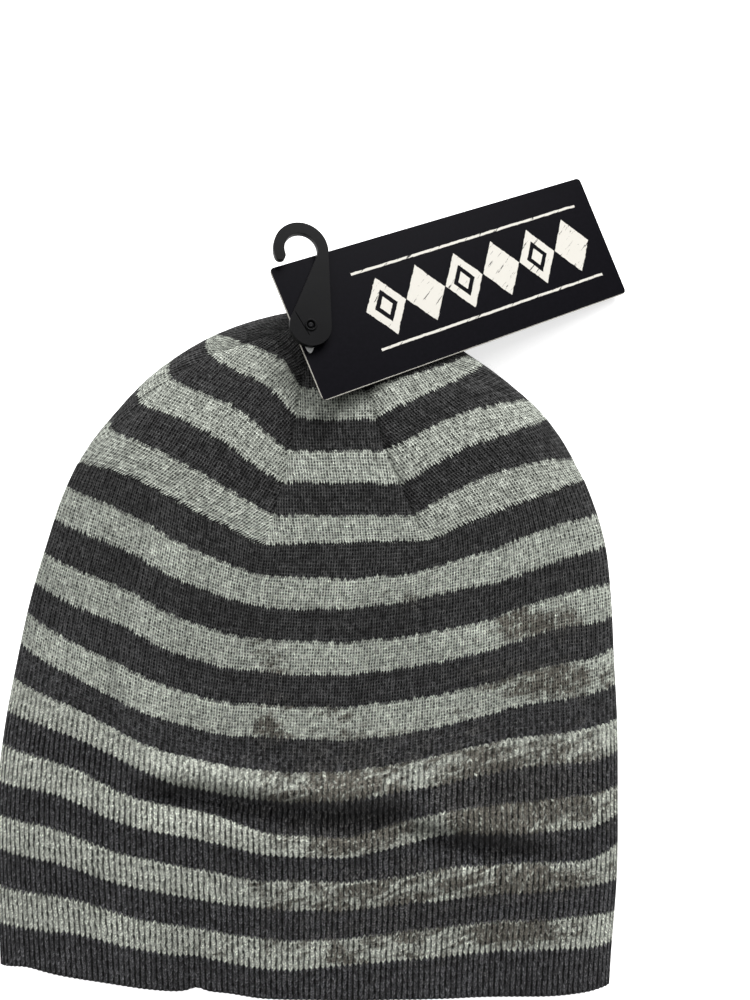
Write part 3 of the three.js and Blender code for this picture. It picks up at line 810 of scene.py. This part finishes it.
def card_material():
    """Satin black board, with a worn geometric print on its front: U, V in mm on the card."""
    m = Mat("tag_card", rough=0.44, spec=0.03)
    U, V, F = m.split(m.uv("CardUV"))
    ob = m.object()
    grain = m.noise(ob, 900.0, 3.0, 0.6)
    worn = m.noise(ob, 260.0, 5.0, 0.65, 0.8)
    fibre = m.noise(ob, 1900.0, 2.0, 0.5)
    # a row of diamonds between two broken lines
    k = (U - 20.0) / 15.0
    cell = k.floor()
    cx = (k.fract() - 0.5) * 15.0
    dy = V + 0.8
    d = cx.abs() * 1.36 + dy.abs()
    inrow = U.above(20.05) * (1.0 - U.above(110.0))
    solid = (d + (worn - 0.5) * 1.8).step(10.1, 9.9)
    core = (d + (worn - 0.5) * 1.2).step(5.6, 5.8)
    ring = (d + (worn - 0.5) * 0.9).step(3.3, 3.1)
    odd = cell.mod(2.0)
    shape = solid * odd.mix(core.max(ring), (solid * 0.0) + 1.0)
    bars = (1.0 - ((V + 0.8).abs() - 13.2 + (worn - 0.5) * 0.6).abs().step(0.36, 0.5)) * U.above(20.05) * (1.0 - U.above(110.0))
    scratch = m.noise(m.join(U * 0.10 + V * 0.05, V * 0.9 - U * 0.55, 0.0), 0.9, 4.0, 0.7)
    wear = (worn * 0.7 + grain * 0.5).step(0.36, 0.42) * (1.0 - (scratch.step(0.60, 0.63)) * 0.9)
    ink = ((shape * inrow).max(bars) * wear).clamp()
    face = m.split(m.uv("CardFace"))
    front = face[0].above(0.5)
    edge = face[1].above(0.5)
    black = m.rgb(grain, lin(8, 8, 11), lin(17, 16, 21))
    col = m.rgb(ink * front, black, lin(206, 203, 195))
    cut = (U + worn * 0.12).step(-4.46, -4.62).max((V + worn * 0.12).step(-22.93, -23.10))  # the board's pale core shows along the cut
    col = m.rgb(cut * (fibre * 0.6 + 0.55).clamp(), col, lin(190, 187, 178))
    col = m.rgb(edge, col, m.rgb(fibre, lin(150, 146, 138), lin(214, 210, 200)))
    m.color(col)
    m.rough(grain * 0.12 + (ink * 0.1) + 0.36)
    m.bump(grain * 0.4 + ink * 0.15, 0.00003, 0.6)
    return m.m


def plastic_material(name, a, b, rough):
    m = Mat(name, rough=rough, spec=0.055)
    ob = m.object()
    tone = m.noise(ob, 160.0, 3.0)
    fine = m.noise(ob, 2600.0, 2.0, 0.5)
    scuff = m.noise(ob, 700.0, 5.0, 0.7, 0.6)
    m.color(m.rgb((tone * 0.6 + scuff.step(0.56, 0.75) * 0.5).clamp(), lin(*a), lin(*b)))
    m.rough(fine * 0.10 + scuff.step(0.5, 0.8) * 0.12 + (rough - 0.05))
    m.bump(fine * 0.5 + scuff * 0.3, 0.00004, 0.5)
    return m.m


def clear_material():
    m = Mat("clear_plastic", rough=0.22, spec=0.5)
    ob = m.object()
    tone = m.noise(ob, 420.0, 3.0)
    m.color(m.rgb(tone, lin(205, 207, 206), lin(236, 237, 235)))
    m.b.inputs["Transmission Weight"].default_value = 0.45
    m.b.inputs["IOR"].default_value = 1.49
    m.rough(tone * 0.14 + 0.16)
    m.bump(tone, 0.00005, 0.5)
    return m.m


def floor_material():
    m = Mat("floor_paper", rough=0.9, spec=0.1)
    ob = m.object()
    tone = m.noise(ob, 6.0, 2.0)
    fine = m.noise(ob, 700.0, 2.0)
    m.color(m.rgb(tone, lin(250, 250, 250), lin(253, 253, 253)))
    m.b.inputs["Emission Color"].default_value = (1, 1, 1, 1)
    m.b.inputs["Emission Strength"].default_value = 0.70
    m.bump(fine, 0.00002, 0.3)
    return m.m


knit = knit_material()
for name, ob in parts.items():
    ob.data.materials.append(knit)
    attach(ob, "hat")
    if name.startswith("knit_body"):
        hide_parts("body_tube")
    else:
        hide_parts(name.replace("knit_", ""))


# ------------------------------------------------------------------ sewn allowances under the seams
def sweep(name, path, side, up, wide, deep, ridge, pitch, seg=12):
    """A soft bar along a path: side and up are unit vectors at each point."""
    path, side, up = (np.asarray(a, float) for a in (path, side, up))
    s = np.concatenate([[0], np.cumsum(np.linalg.norm(np.diff(path, axis=0), axis=1))])
    fine = np.linspace(0, s[-1], max(int(s[-1] / (pitch / 5)), 12))
    path, side, up = (np.stack([np.interp(fine, s, a[:, i]) for i in range(3)], -1) for a in (path, side, up))
    ang = np.linspace(0, 2 * math.pi, seg, endpoint=False)
    cs, sn = np.cos(ang), np.sin(ang)
    px = np.sign(cs) * np.abs(cs) ** 0.6 * wide / 2
    py = np.sign(sn) * np.abs(sn) ** 0.6 * deep / 2
    bumpy = 1 - ridge * (0.5 + 0.5 * np.cos(2 * math.pi * (fine[:, None] / pitch + ang[None, :] / (2 * math.pi) * 1.0)))
    tip = np.clip(np.minimum(fine, fine[-1] - fine) / (wide * 0.6), 0.25, 1) ** 0.5
    k = (bumpy * tip[:, None])[..., None]
    pts = path[:, None] + side[:, None] * px[None, :, None] * k + up[:, None] * py[None, :, None] * k
    n = len(fine)
    idx = np.arange(n * seg).reshape(n, seg)
    faces, uv = [], []
    for i in range(n - 1):
        for j in range(seg):
            j2 = (j + 1) % seg
            faces.append([int(idx[i, j]), int(idx[i, j2]), int(idx[i + 1, j2]), int(idx[i + 1, j])])
            uv.append([(j * 0.3, fine[i]), ((j + 1) * 0.3, fine[i]), ((j + 1) * 0.3, fine[i + 1]), (j * 0.3, fine[i + 1])])
    faces.append([int(i) for i in idx[0][::-1]])
    uv.append([(0, 0)] * seg)
    faces.append([int(i) for i in idx[-1]])
    uv.append([(0, fine[-1])] * seg)
    ob = new_mesh(name, pts.reshape(-1, 3), faces, {"KnitUV": np.concatenate([np.array(u, float) for u in uv])})
    bm = bmesh.new()
    bm.from_mesh(ob.data)
    bmesh.ops.recalc_face_normals(bm, faces=bm.faces)
    bm.to_mesh(ob.data)
    bm.free()
    return ob


overlock = thread_material("overlock_thread", (46, 46, 47), (92, 92, 92), 1.3)
for name in SEAMS:
    v = np.linspace(15.15, 21.9, 90)
    th = seam_at(name, v)
    p = shaped(th, v)
    du = shaped(th + 0.01, v) - shaped(th - 0.01, v)
    dv = np.gradient(p, axis=0)
    n = np.cross(dv, du)
    n /= np.linalg.norm(n, axis=1, keepdims=True)
    side = np.cross(n, dv)
    side /= np.linalg.norm(side, axis=1, keepdims=True)
    mid = p - n * (KNIT + 1.25 + 0.35 + 1.3)
    mid[:, 2] = np.clip(mid[:, 2], 1.5, 29)
    ob = sweep("sewn_dart_" + name, mid, side, n, 1.7, 2.6, 0.22, 1.3)
    ob.data.materials.append(overlock)
    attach(ob, "hat")
    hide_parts("dart_seam_" + name)
lo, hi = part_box("back_seam")
lo, hi = np.array(lo) * 1000, np.array(hi) * 1000
print("back_seam", lo.round(2), hi.round(2))
yy = np.linspace(lo[1] + 0.3, hi[1] - 0.3, 60)
path = np.stack([np.full(60, (lo[0] + hi[0]) / 2) + 0.25 * np.sin(yy / 9), yy, np.full(60, (lo[2] + hi[2]) / 2) + 0.1 * np.sin(yy / 6)], -1)
ob = sweep("sewn_back_seam", path, np.tile([1.0, 0, 0], (60, 1)), np.tile([0, 0, 1.0], (60, 1)), min(hi[0] - lo[0], 2.4), hi[2] - lo[2] - 0.3, 0.22, 1.3)
ob.data.materials.append(overlock)
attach(ob, "hat")
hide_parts("back_seam")

# crown tack: a small knot of doubled yarn
lo, hi = (np.array(a) * 1000 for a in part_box("crown_tack"))
mid, half = (lo + hi) / 2, (hi - lo) / 2
t = np.linspace(0, 2 * math.pi, 181)[:-1]
r = 0.34
knot = np.stack([mid[0] + (half[0] - r) * np.sin(t) * (1 - 0.15 * np.cos(3 * t)), mid[1] + (half[1] - r) * np.sin(2 * t + 0.5), mid[2] + (half[2] - r) * np.cos(3 * t)], -1)
tang = np.roll(knot, -1, 0) - np.roll(knot, 1, 0)
tang /= np.linalg.norm(tang, axis=1, keepdims=True)
sd = np.cross(tang, [0.31, 0.2, 0.93])
sd /= np.linalg.norm(sd, axis=1, keepdims=True)
up = np.cross(sd, tang)
ang = np.linspace(0, 2 * math.pi, 13)[:-1]
prof = r * (1 - 0.16 * np.abs(np.sin(ang[None, :] * 1.5 + t[:, None] * 14)))
pts = knot[:, None] + sd[:, None] * (np.cos(ang)[None, :] * prof)[..., None] + up[:, None] * (np.sin(ang)[None, :] * prof)[..., None]
n, sg = len(t), len(ang)
faces, uv = [], []
for i in range(n):
    for j in range(sg):
        i2, j2 = (i + 1) % n, (j + 1) % sg
        faces.append([i * sg + j, i * sg + j2, i2 * sg + j2, i2 * sg + j])
        uv += [(j * 0.2, i * 0.12), (j * 0.2 + 0.2, i * 0.12), (j * 0.2 + 0.2, i * 0.12 + 0.12), (j * 0.2, i * 0.12 + 0.12)]
tack = new_mesh("crown_tack_yarn", pts.reshape(-1, 3), faces, {"KnitUV": np.array(uv)})
bm = bmesh.new()
bm.from_mesh(tack.data)
bmesh.ops.recalc_face_normals(bm, faces=bm.faces)
bm.to_mesh(tack.data)
bm.free()
tack.data.materials.append(thread_material("tack_yarn", (40, 40, 41), (86, 86, 86), 0.8))
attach(tack, "hat")
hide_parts("crown_tack")

# care label: a blank satin tape, folded double, its cut ends in the back seam
lo, hi = (np.array(a) * 1000 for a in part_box("care_label"))
print("care_label", lo.round(2), hi.round(2))
leaf = 0.3
rad = (hi[2] - lo[2]) / 2 - leaf / 2
long_ = hi[0] - lo[0] - rad - leaf / 2
zc = (hi[2] + lo[2]) / 2
path = [(lo[0] + long_ * k / 40, lo[2] + leaf / 2) for k in range(41)]
path += [(lo[0] + long_ + rad * math.sin(a), zc - rad * math.cos(a)) for a in np.linspace(0, math.pi, 9)[1:-1]]
path += [(lo[0] + long_ * (1 - k / 40), hi[2] - leaf / 2) for k in range(41)]
path = np.array(path)
tangent = np.gradient(path, axis=0)
tangent /= np.linalg.norm(tangent, axis=1, keepdims=True)
nrm2 = np.stack([-tangent[:, 1], tangent[:, 0]], -1)
sl = np.concatenate([[0], np.cumsum(np.linalg.norm(np.diff(path, axis=0), axis=1))])
wide = hi[1] - lo[1]
nw = 25
ys = np.linspace(lo[1], hi[1], nw)
rows_ = []
for side_ in (1, -1):
    off = path + nrm2 * (leaf / 2 - 0.04) * side_
    wob = 0.07 * np.sin(sl[:, None] / 4.2 + ys[None, :] / 3.1) * np.minimum(1, (np.minimum(sl, sl[-1] - sl) / 3))[:, None]
    rows_.append(np.stack([off[:, None, 0] + nrm2[:, None, 0] * wob, np.broadcast_to(ys, (len(path), nw)), off[:, None, 1] + nrm2[:, None, 1] * wob], -1))
pts = np.concatenate([r_.reshape(-1, 3) for r_ in rows_])
npth = len(path)
ia = np.arange(npth * nw).reshape(npth, nw)
ib = ia + npth * nw
faces, uv = [], []


def strip(g, ku, rev):
    for i in range(g.shape[0] - 1):
        for j in range(g.shape[1] - 1):
            q = [(i, j), (i, j + 1), (i + 1, j + 1), (i + 1, j)]
            q = q[::-1] if rev else q
            faces.append([int(g[a]) for a in q])
            uv.extend(ku(a) for a in q)


strip(ia, lambda a: (a[1] * wide / (nw - 1), sl[a[0]]), False)
strip(ib, lambda a: (a[1] * wide / (nw - 1), sl[a[0]]), True)
for g in (np.stack([ia[0], ib[0]]), np.stack([ib[-1], ia[-1]]), np.stack([ib[:, 0], ia[:, 0]]), np.stack([ia[:, -1], ib[:, -1]])):
    strip(g, lambda a: (a[0] * 0.3, a[1] * 0.5), False)
label = new_mesh("care_label_tape", pts, faces, {"KnitUV": np.array(uv)})
bm = bmesh.new()
bm.from_mesh(label.data)
bmesh.ops.recalc_face_normals(bm, faces=bm.faces)
bm.to_mesh(label.data)
bm.free()
label.data.materials.append(satin_material())
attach(label, "hat")
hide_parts("care_label")

# ------------------------------------------------------------------ hang tag, hook, washer and pin
PIN, TU, TV, TN = TAG_PIN, TAG_U, TAG_V, TAG_N
HOOK_TURN = math.radians(-22.3)
HU = TU * math.cos(HOOK_TURN) + TV * math.sin(HOOK_TURN)
HV = -TU * math.sin(HOOK_TURN) + TV * math.cos(HOOK_TURN)


def to_tag(p):
    p = np.asarray(p, float)
    return PIN + p[..., 0:1] * TU + p[..., 1:2] * TV + p[..., 2:3] * TN


def to_hook(p):
    p = np.asarray(p, float)
    return PIN + p[..., 0:1] * HU + p[..., 1:2] * HV + p[..., 2:3] * TN


def card_mesh():
    x0, x1, y0, y1, r = -4.82, 116.58, -23.31, 21.69, 1.6
    out = []
    for cx, cy, a0 in ((x1 - r, y1 - r, 0), (x0 + r, y1 - r, 90), (x0 + r, y0 + r, 180), (x1 - r, y0 + r, 270)):
        for k in range(9):
            a = math.radians(a0 + 90 * k / 8)
            out.append((cx + r * math.cos(a), cy + r * math.sin(a)))
    hole = [(1.25 * math.cos(a), 1.25 * math.sin(a)) for a in np.linspace(0, 2 * math.pi, 33)[:-1]]
    bm = bmesh.new()
    b = 0.07

    def loop(pts, z):
        vs = [bm.verts.new((x, y, z)) for x, y in pts]
        return vs, [bm.edges.new((vs[i], vs[(i + 1) % len(vs)])) for i in range(len(vs))]

    def inset(pts, d):
        p = np.array(pts)
        nx, pv = np.roll(p, -1, 0), np.roll(p, 1, 0)
        t_ = nx - pv
        t_ /= np.linalg.norm(t_, axis=1, keepdims=True)
        return (p + np.stack([-t_[:, 1], t_[:, 0]], -1) * d).tolist()

    levels = [(0.0, b), (-b, 0.0), (-0.6 + b, 0.0), (-0.6, b)]
    os_, hs_ = [], []
    for z, d in levels:
        os_.append(loop(inset(out, d), z))
        hs_.append(loop(inset(hole, -d), z))
    for lv in (0, 3):
        bmesh.ops.triangle_fill(bm, use_beauty=True, use_dissolve=False, edges=os_[lv][1] + hs_[lv][1])
    for grp in (os_, hs_):
        for a, c in zip(grp, grp[1:]):
            va, vc = a[0], c[0]
            for i in range(len(va)):
                j = (i + 1) % len(va)
                bm.faces.new((va[i], va[j], vc[j], vc[i]))
    bmesh.ops.recalc_face_normals(bm, faces=bm.faces)
    card = bm.loops.layers.uv.new("CardUV")
    face_uv = bm.loops.layers.uv.new("CardFace")
    for f in bm.faces:
        c = f.calc_center_median()
        is_edge = all(-0.6 + b - 1e-4 <= v.co.z <= -b + 1e-4 for v in f.verts)
        top = 1.0 if f.normal.z > 0.3 else 0.0
        for lp in f.loops:
            lp[card].uv = (lp.vert.co.x, lp.vert.co.y)
            lp[face_uv].uv = (top, 1.0 if is_edge else 0.0)
    me = bpy.data.meshes.new("printed_card")
    for v in bm.verts:
        v.co = Vector((to_tag(np.array(v.co[:])) * MM).tolist())
    bmesh.ops.recalc_face_normals(bm, faces=bm.faces)
    bm.to_mesh(me)
    bm.free()
    ob = bpy.data.objects.new("printed_card", me)
    bpy.context.scene.collection.objects.link(ob)
    return ob


card = card_mesh()
card.data.materials.append(card_material())
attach(card, "tag")
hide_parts("hang_tag_card")


def arc_pts(cx, cy, r, a0, a1, n):
    return [(cx + r * math.cos(math.radians(a)), cy + r * math.sin(math.radians(a))) for a in np.linspace(a0, a1, n)]


def tidy(pts):
    out = []
    for p in pts:
        if not out or math.dist(out[-1], p) > 0.02:
            out.append(p)
    if math.dist(out[0], out[-1]) < 0.02:
        out.pop()
    a = sum(out[i][0] * out[(i + 1) % len(out)][1] - out[(i + 1) % len(out)][0] * out[i][1] for i in range(len(out)))
    return out if a > 0 else out[::-1]


def plate_object(name, outline, hole_r, z0, z1, bevel, place, segments=3):
    bm = bmesh.new()

    def loop(pts, z):
        vs = [bm.verts.new((x, y, z)) for x, y in pts]
        return vs, [bm.edges.new((vs[i], vs[(i + 1) % len(vs)])) for i in range(len(vs))]

    hole = arc_pts(0, 0, hole_r, 0, 360, 41)[:-1]
    vo, eo = loop(outline, z0)
    vh, eh = loop(hole, z0)
    res = bmesh.ops.triangle_fill(bm, use_beauty=True, use_dissolve=False, edges=eo + eh)
    faces = [g for g in res["geom"] if isinstance(g, bmesh.types.BMFace)]
    ext = bmesh.ops.extrude_face_region(bm, geom=faces)
    for g in ext["geom"]:
        if isinstance(g, bmesh.types.BMVert):
            g.co.z = z1
    bmesh.ops.recalc_face_normals(bm, faces=bm.faces)
    rim = [e for e in bm.edges if len(e.link_faces) == 2 and abs(e.link_faces[0].normal.dot(e.link_faces[1].normal)) < 0.3 and abs(e.verts[0].co.z - e.verts[1].co.z) < 1e-5]
    bmesh.ops.bevel(bm, geom=rim, offset=bevel, segments=segments, profile=0.5, affect="EDGES", clamp_overlap=True)
    for f in bm.faces:
        f.smooth = True
    for e in bm.edges:
        if len(e.link_faces) == 2 and e.link_faces[0].normal.dot(e.link_faces[1].normal) < math.cos(math.radians(38)):
            e.smooth = False
    for v in bm.verts:
        v.co = Vector((place(np.array(v.co[:])) * MM).tolist())
    bmesh.ops.recalc_face_normals(bm, faces=bm.faces)
    me = bpy.data.meshes.new(name)
    bm.to_mesh(me)
    bm.free()
    ob = bpy.data.objects.new(name, me)
    bpy.context.scene.collection.objects.link(ob)
    return ob


RX, RY, RO, RI, FOOT = -2.93, 24.4, 8.78, 5.3, 6.66
rm, rc = (RO + RI) / 2, (RO - RI) / 2
tipc = (RX + rm * math.cos(math.radians(200)), RY + rm * math.sin(math.radians(200)))
hook_line = arc_pts(RX, RY, RI, -17, 200, 40)
hook_line += [(tipc[0] + rc * math.cos(math.radians(a)), tipc[1] + rc * math.sin(math.radians(a))) for a in np.linspace(20, -160, 15)]
hook_line += arc_pts(RX, RY, RO, 200, 0, 60)
hook_line += arc_pts(0, 0, FOOT, 0, -194, 50)
hook = plate_object("hook_plate", tidy(hook_line), 1.25, 1.0, 3.2, 0.42, to_hook, 4)


def apply_modifiers(ob):
    dg = bpy.context.evaluated_depsgraph_get()
    me = bpy.data.meshes.new_from_object(ob.evaluated_get(dg))
    ob.modifiers.clear()
    ob.data = me


def lathe(profile, seg=48):
    """Closed turned solid from (radius, height) points; radii of 0 only at its ends."""
    bm = bmesh.new()
    rings = []
    for r, z in profile:
        if r < 1e-6:
            rings.append([bm.verts.new((0, 0, z))])
        else:
            rings.append([bm.verts.new((r * math.cos(a), r * math.sin(a), z)) for a in np.linspace(0, 2 * math.pi, seg + 1)[:-1]])
    pairs = list(zip(rings, rings[1:]))
    if len(rings[0]) > 1:
        pairs.append((rings[-1], rings[0]))
    for a, b in pairs:
        for i in range(seg):
            j = (i + 1) % seg
            if len(a) == 1:
                bm.faces.new((a[0], b[j], b[i]))
            elif len(b) == 1:
                bm.faces.new((a[i], a[j], b[0]))
            else:
                bm.faces.new((a[i], a[j], b[j], b[i]))
    bmesh.ops.recalc_face_normals(bm, faces=bm.faces)
    return bm


def place_bm(bm, name, place):
    for f in bm.faces:
        f.smooth = True
    for e in bm.edges:
        if len(e.link_faces) == 2 and e.link_faces[0].normal.dot(e.link_faces[1].normal) < math.cos(math.radians(40)):
            e.smooth = False
    for v in bm.verts:
        v.co = Vector((place(np.array(v.co[:])) * MM).tolist())
    me = bpy.data.meshes.new(name)
    bm.to_mesh(me)
    bm.free()
    ob = bpy.data.objects.new(name, me)
    bpy.context.scene.collection.objects.link(ob)
    return ob


# the fine slit moulded beside the hook's pin hole
cut_bm = bmesh.new()
a_, b_ = np.array([-4.9, 3.9]), np.array([-0.5, -3.3])
d_ = (b_ - a_) / np.linalg.norm(b_ - a_)
w_ = np.array([-d_[1], d_[0]]) * 0.13
quad = [a_ - w_, b_ - w_, b_ + w_, a_ + w_]
lowv = [cut_bm.verts.new((p[0], p[1], 2.75)) for p in quad]
topv = [cut_bm.verts.new((p[0], p[1], 3.6)) for p in quad]
cut_bm.faces.new(lowv[::-1])
cut_bm.faces.new(topv)
for i in range(4):
    j = (i + 1) % 4
    cut_bm.faces.new((lowv[i], lowv[j], topv[j], topv[i]))
bmesh.ops.recalc_face_normals(cut_bm, faces=cut_bm.faces)
cutter = place_bm(cut_bm, "slit_cutter", to_hook)
mod = hook.modifiers.new("slit", "BOOLEAN")
mod.object = cutter
mod.operation = "DIFFERENCE"
mod.solver = "EXACT"
apply_modifiers(hook)
bpy.data.objects.remove(cutter)
for poly in hook.data.polygons:  # the plate's two faces are flat
    poly.use_smooth = abs(poly.normal.dot(Vector(TN.tolist()))) < 0.995
boss = place_bm(lathe([(1.28, 3.1), (1.95, 3.1), (1.95, 3.42), (1.9, 3.55), (1.78, 3.62), (1.5, 3.62), (1.38, 3.55), (1.28, 3.42)], 40), "hook_boss", to_hook)
black = plastic_material("hanger_black", (13, 13, 14), (22, 22, 23), 0.40)
for ob in (hook, boss):
    ob.data.materials.append(black)
    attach(ob, "hook")
    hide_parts("hook_hanger")
washer_line = arc_pts(0, 0, 5.2, -62, 242, 60) + [(-1.0, -7.0), (-0.55, -7.75), (0.0, -8.2), (0.3, -8.3), (0.62, -8.15), (1.0, -7.6), (1.2, -7.0)]
washer = plate_object("clear_tip_washer", tidy(washer_line), 1.25, 0.3, 0.7, 0.1, to_hook, 2)
washer.data.materials.append(clear_material())
for poly in washer.data.polygons:
    poly.use_smooth = abs(poly.normal.dot(Vector(TN.tolist()))) < 0.995
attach(washer, "hook")
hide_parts("clear_washer")
prof = [(0, -19.9), (1.2, -19.86), (2.9, -19.86), (3.25, -19.8), (3.4, -19.62), (3.4, -19.2), (3.25, -19.0), (2.9, -18.92), (1.7, -18.9), (1.15, -18.7), (0.92, -18.2), (0.9, -17.6)]
prof += [(0.9, z) for z in np.linspace(-16, 2.6, 12)] + [(0.9, 3.1), (0.84, 3.32), (0.66, 3.45), (0.4, 3.5), (0.22, 3.46), (0, 3.4)]
pin = place_bm(lathe(prof, 40), "snap_pin", to_tag)
pin.data.materials.append(plastic_material("pin_black", (20, 20, 21), (34, 34, 36), 0.30))
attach(pin, "hat")
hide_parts("hanger_pin")

# ------------------------------------------------------------------ floor and light
fl = bpy.data.meshes.new("floor")
fl.from_pydata([(-4, -4, -0.0004), (4, -4, -0.0004), (4, 4, -0.0004), (-4, 4, -0.0004)], [], [(0, 1, 2, 3)])
floor = bpy.data.objects.new("floor", fl)
bpy.context.scene.collection.objects.link(floor)
fl.materials.append(floor_material())

world = bpy.data.worlds.new("studio")
bpy.context.scene.world = world
world.use_nodes = True
bg = world.node_tree.nodes["Background"]
bg.inputs[0].default_value = (1, 1, 1, 1)
bg.inputs[1].default_value = WORLD
backdrop = world.node_tree.nodes.new("ShaderNodeBackground")  # what shows behind the floor's edge
backdrop.inputs[0].default_value = (0.93, 0.93, 0.93, 1)
path_in = world.node_tree.nodes.new("ShaderNodeLightPath")
either = world.node_tree.nodes.new("ShaderNodeMixShader")
world.node_tree.links.new(path_in.outputs["Is Camera Ray"], either.inputs[0])
world.node_tree.links.new(bg.outputs[0], either.inputs[1])
world.node_tree.links.new(backdrop.outputs[0], either.inputs[2])
world.node_tree.links.new(either.outputs[0], world.node_tree.nodes["World Output"].inputs["Surface"])


def area(name, place, aim, size, power):
    d = bpy.data.lights.new(name, "AREA")
    d.shape = "RECTANGLE"
    d.size, d.size_y = size
    d.energy = power
    ob = bpy.data.objects.new(name, d)
    bpy.context.scene.collection.objects.link(ob)
    ob.location = place
    ob.rotation_euler = (Vector(aim) - Vector(place)).to_track_quat("-Z", "Y").to_euler()
    return ob


area("key", (0.32, 0.95, 0.66), (0, 0, 0), (0.7, 0.45), KEY)
area("fill", (-0.30, 0.35, 1.18), (0, 0, 0), (0.8, 0.8), FILL)
bpy.context.scene.view_settings.view_transform = "Standard"
bpy.context.scene.view_settings.look = "None"

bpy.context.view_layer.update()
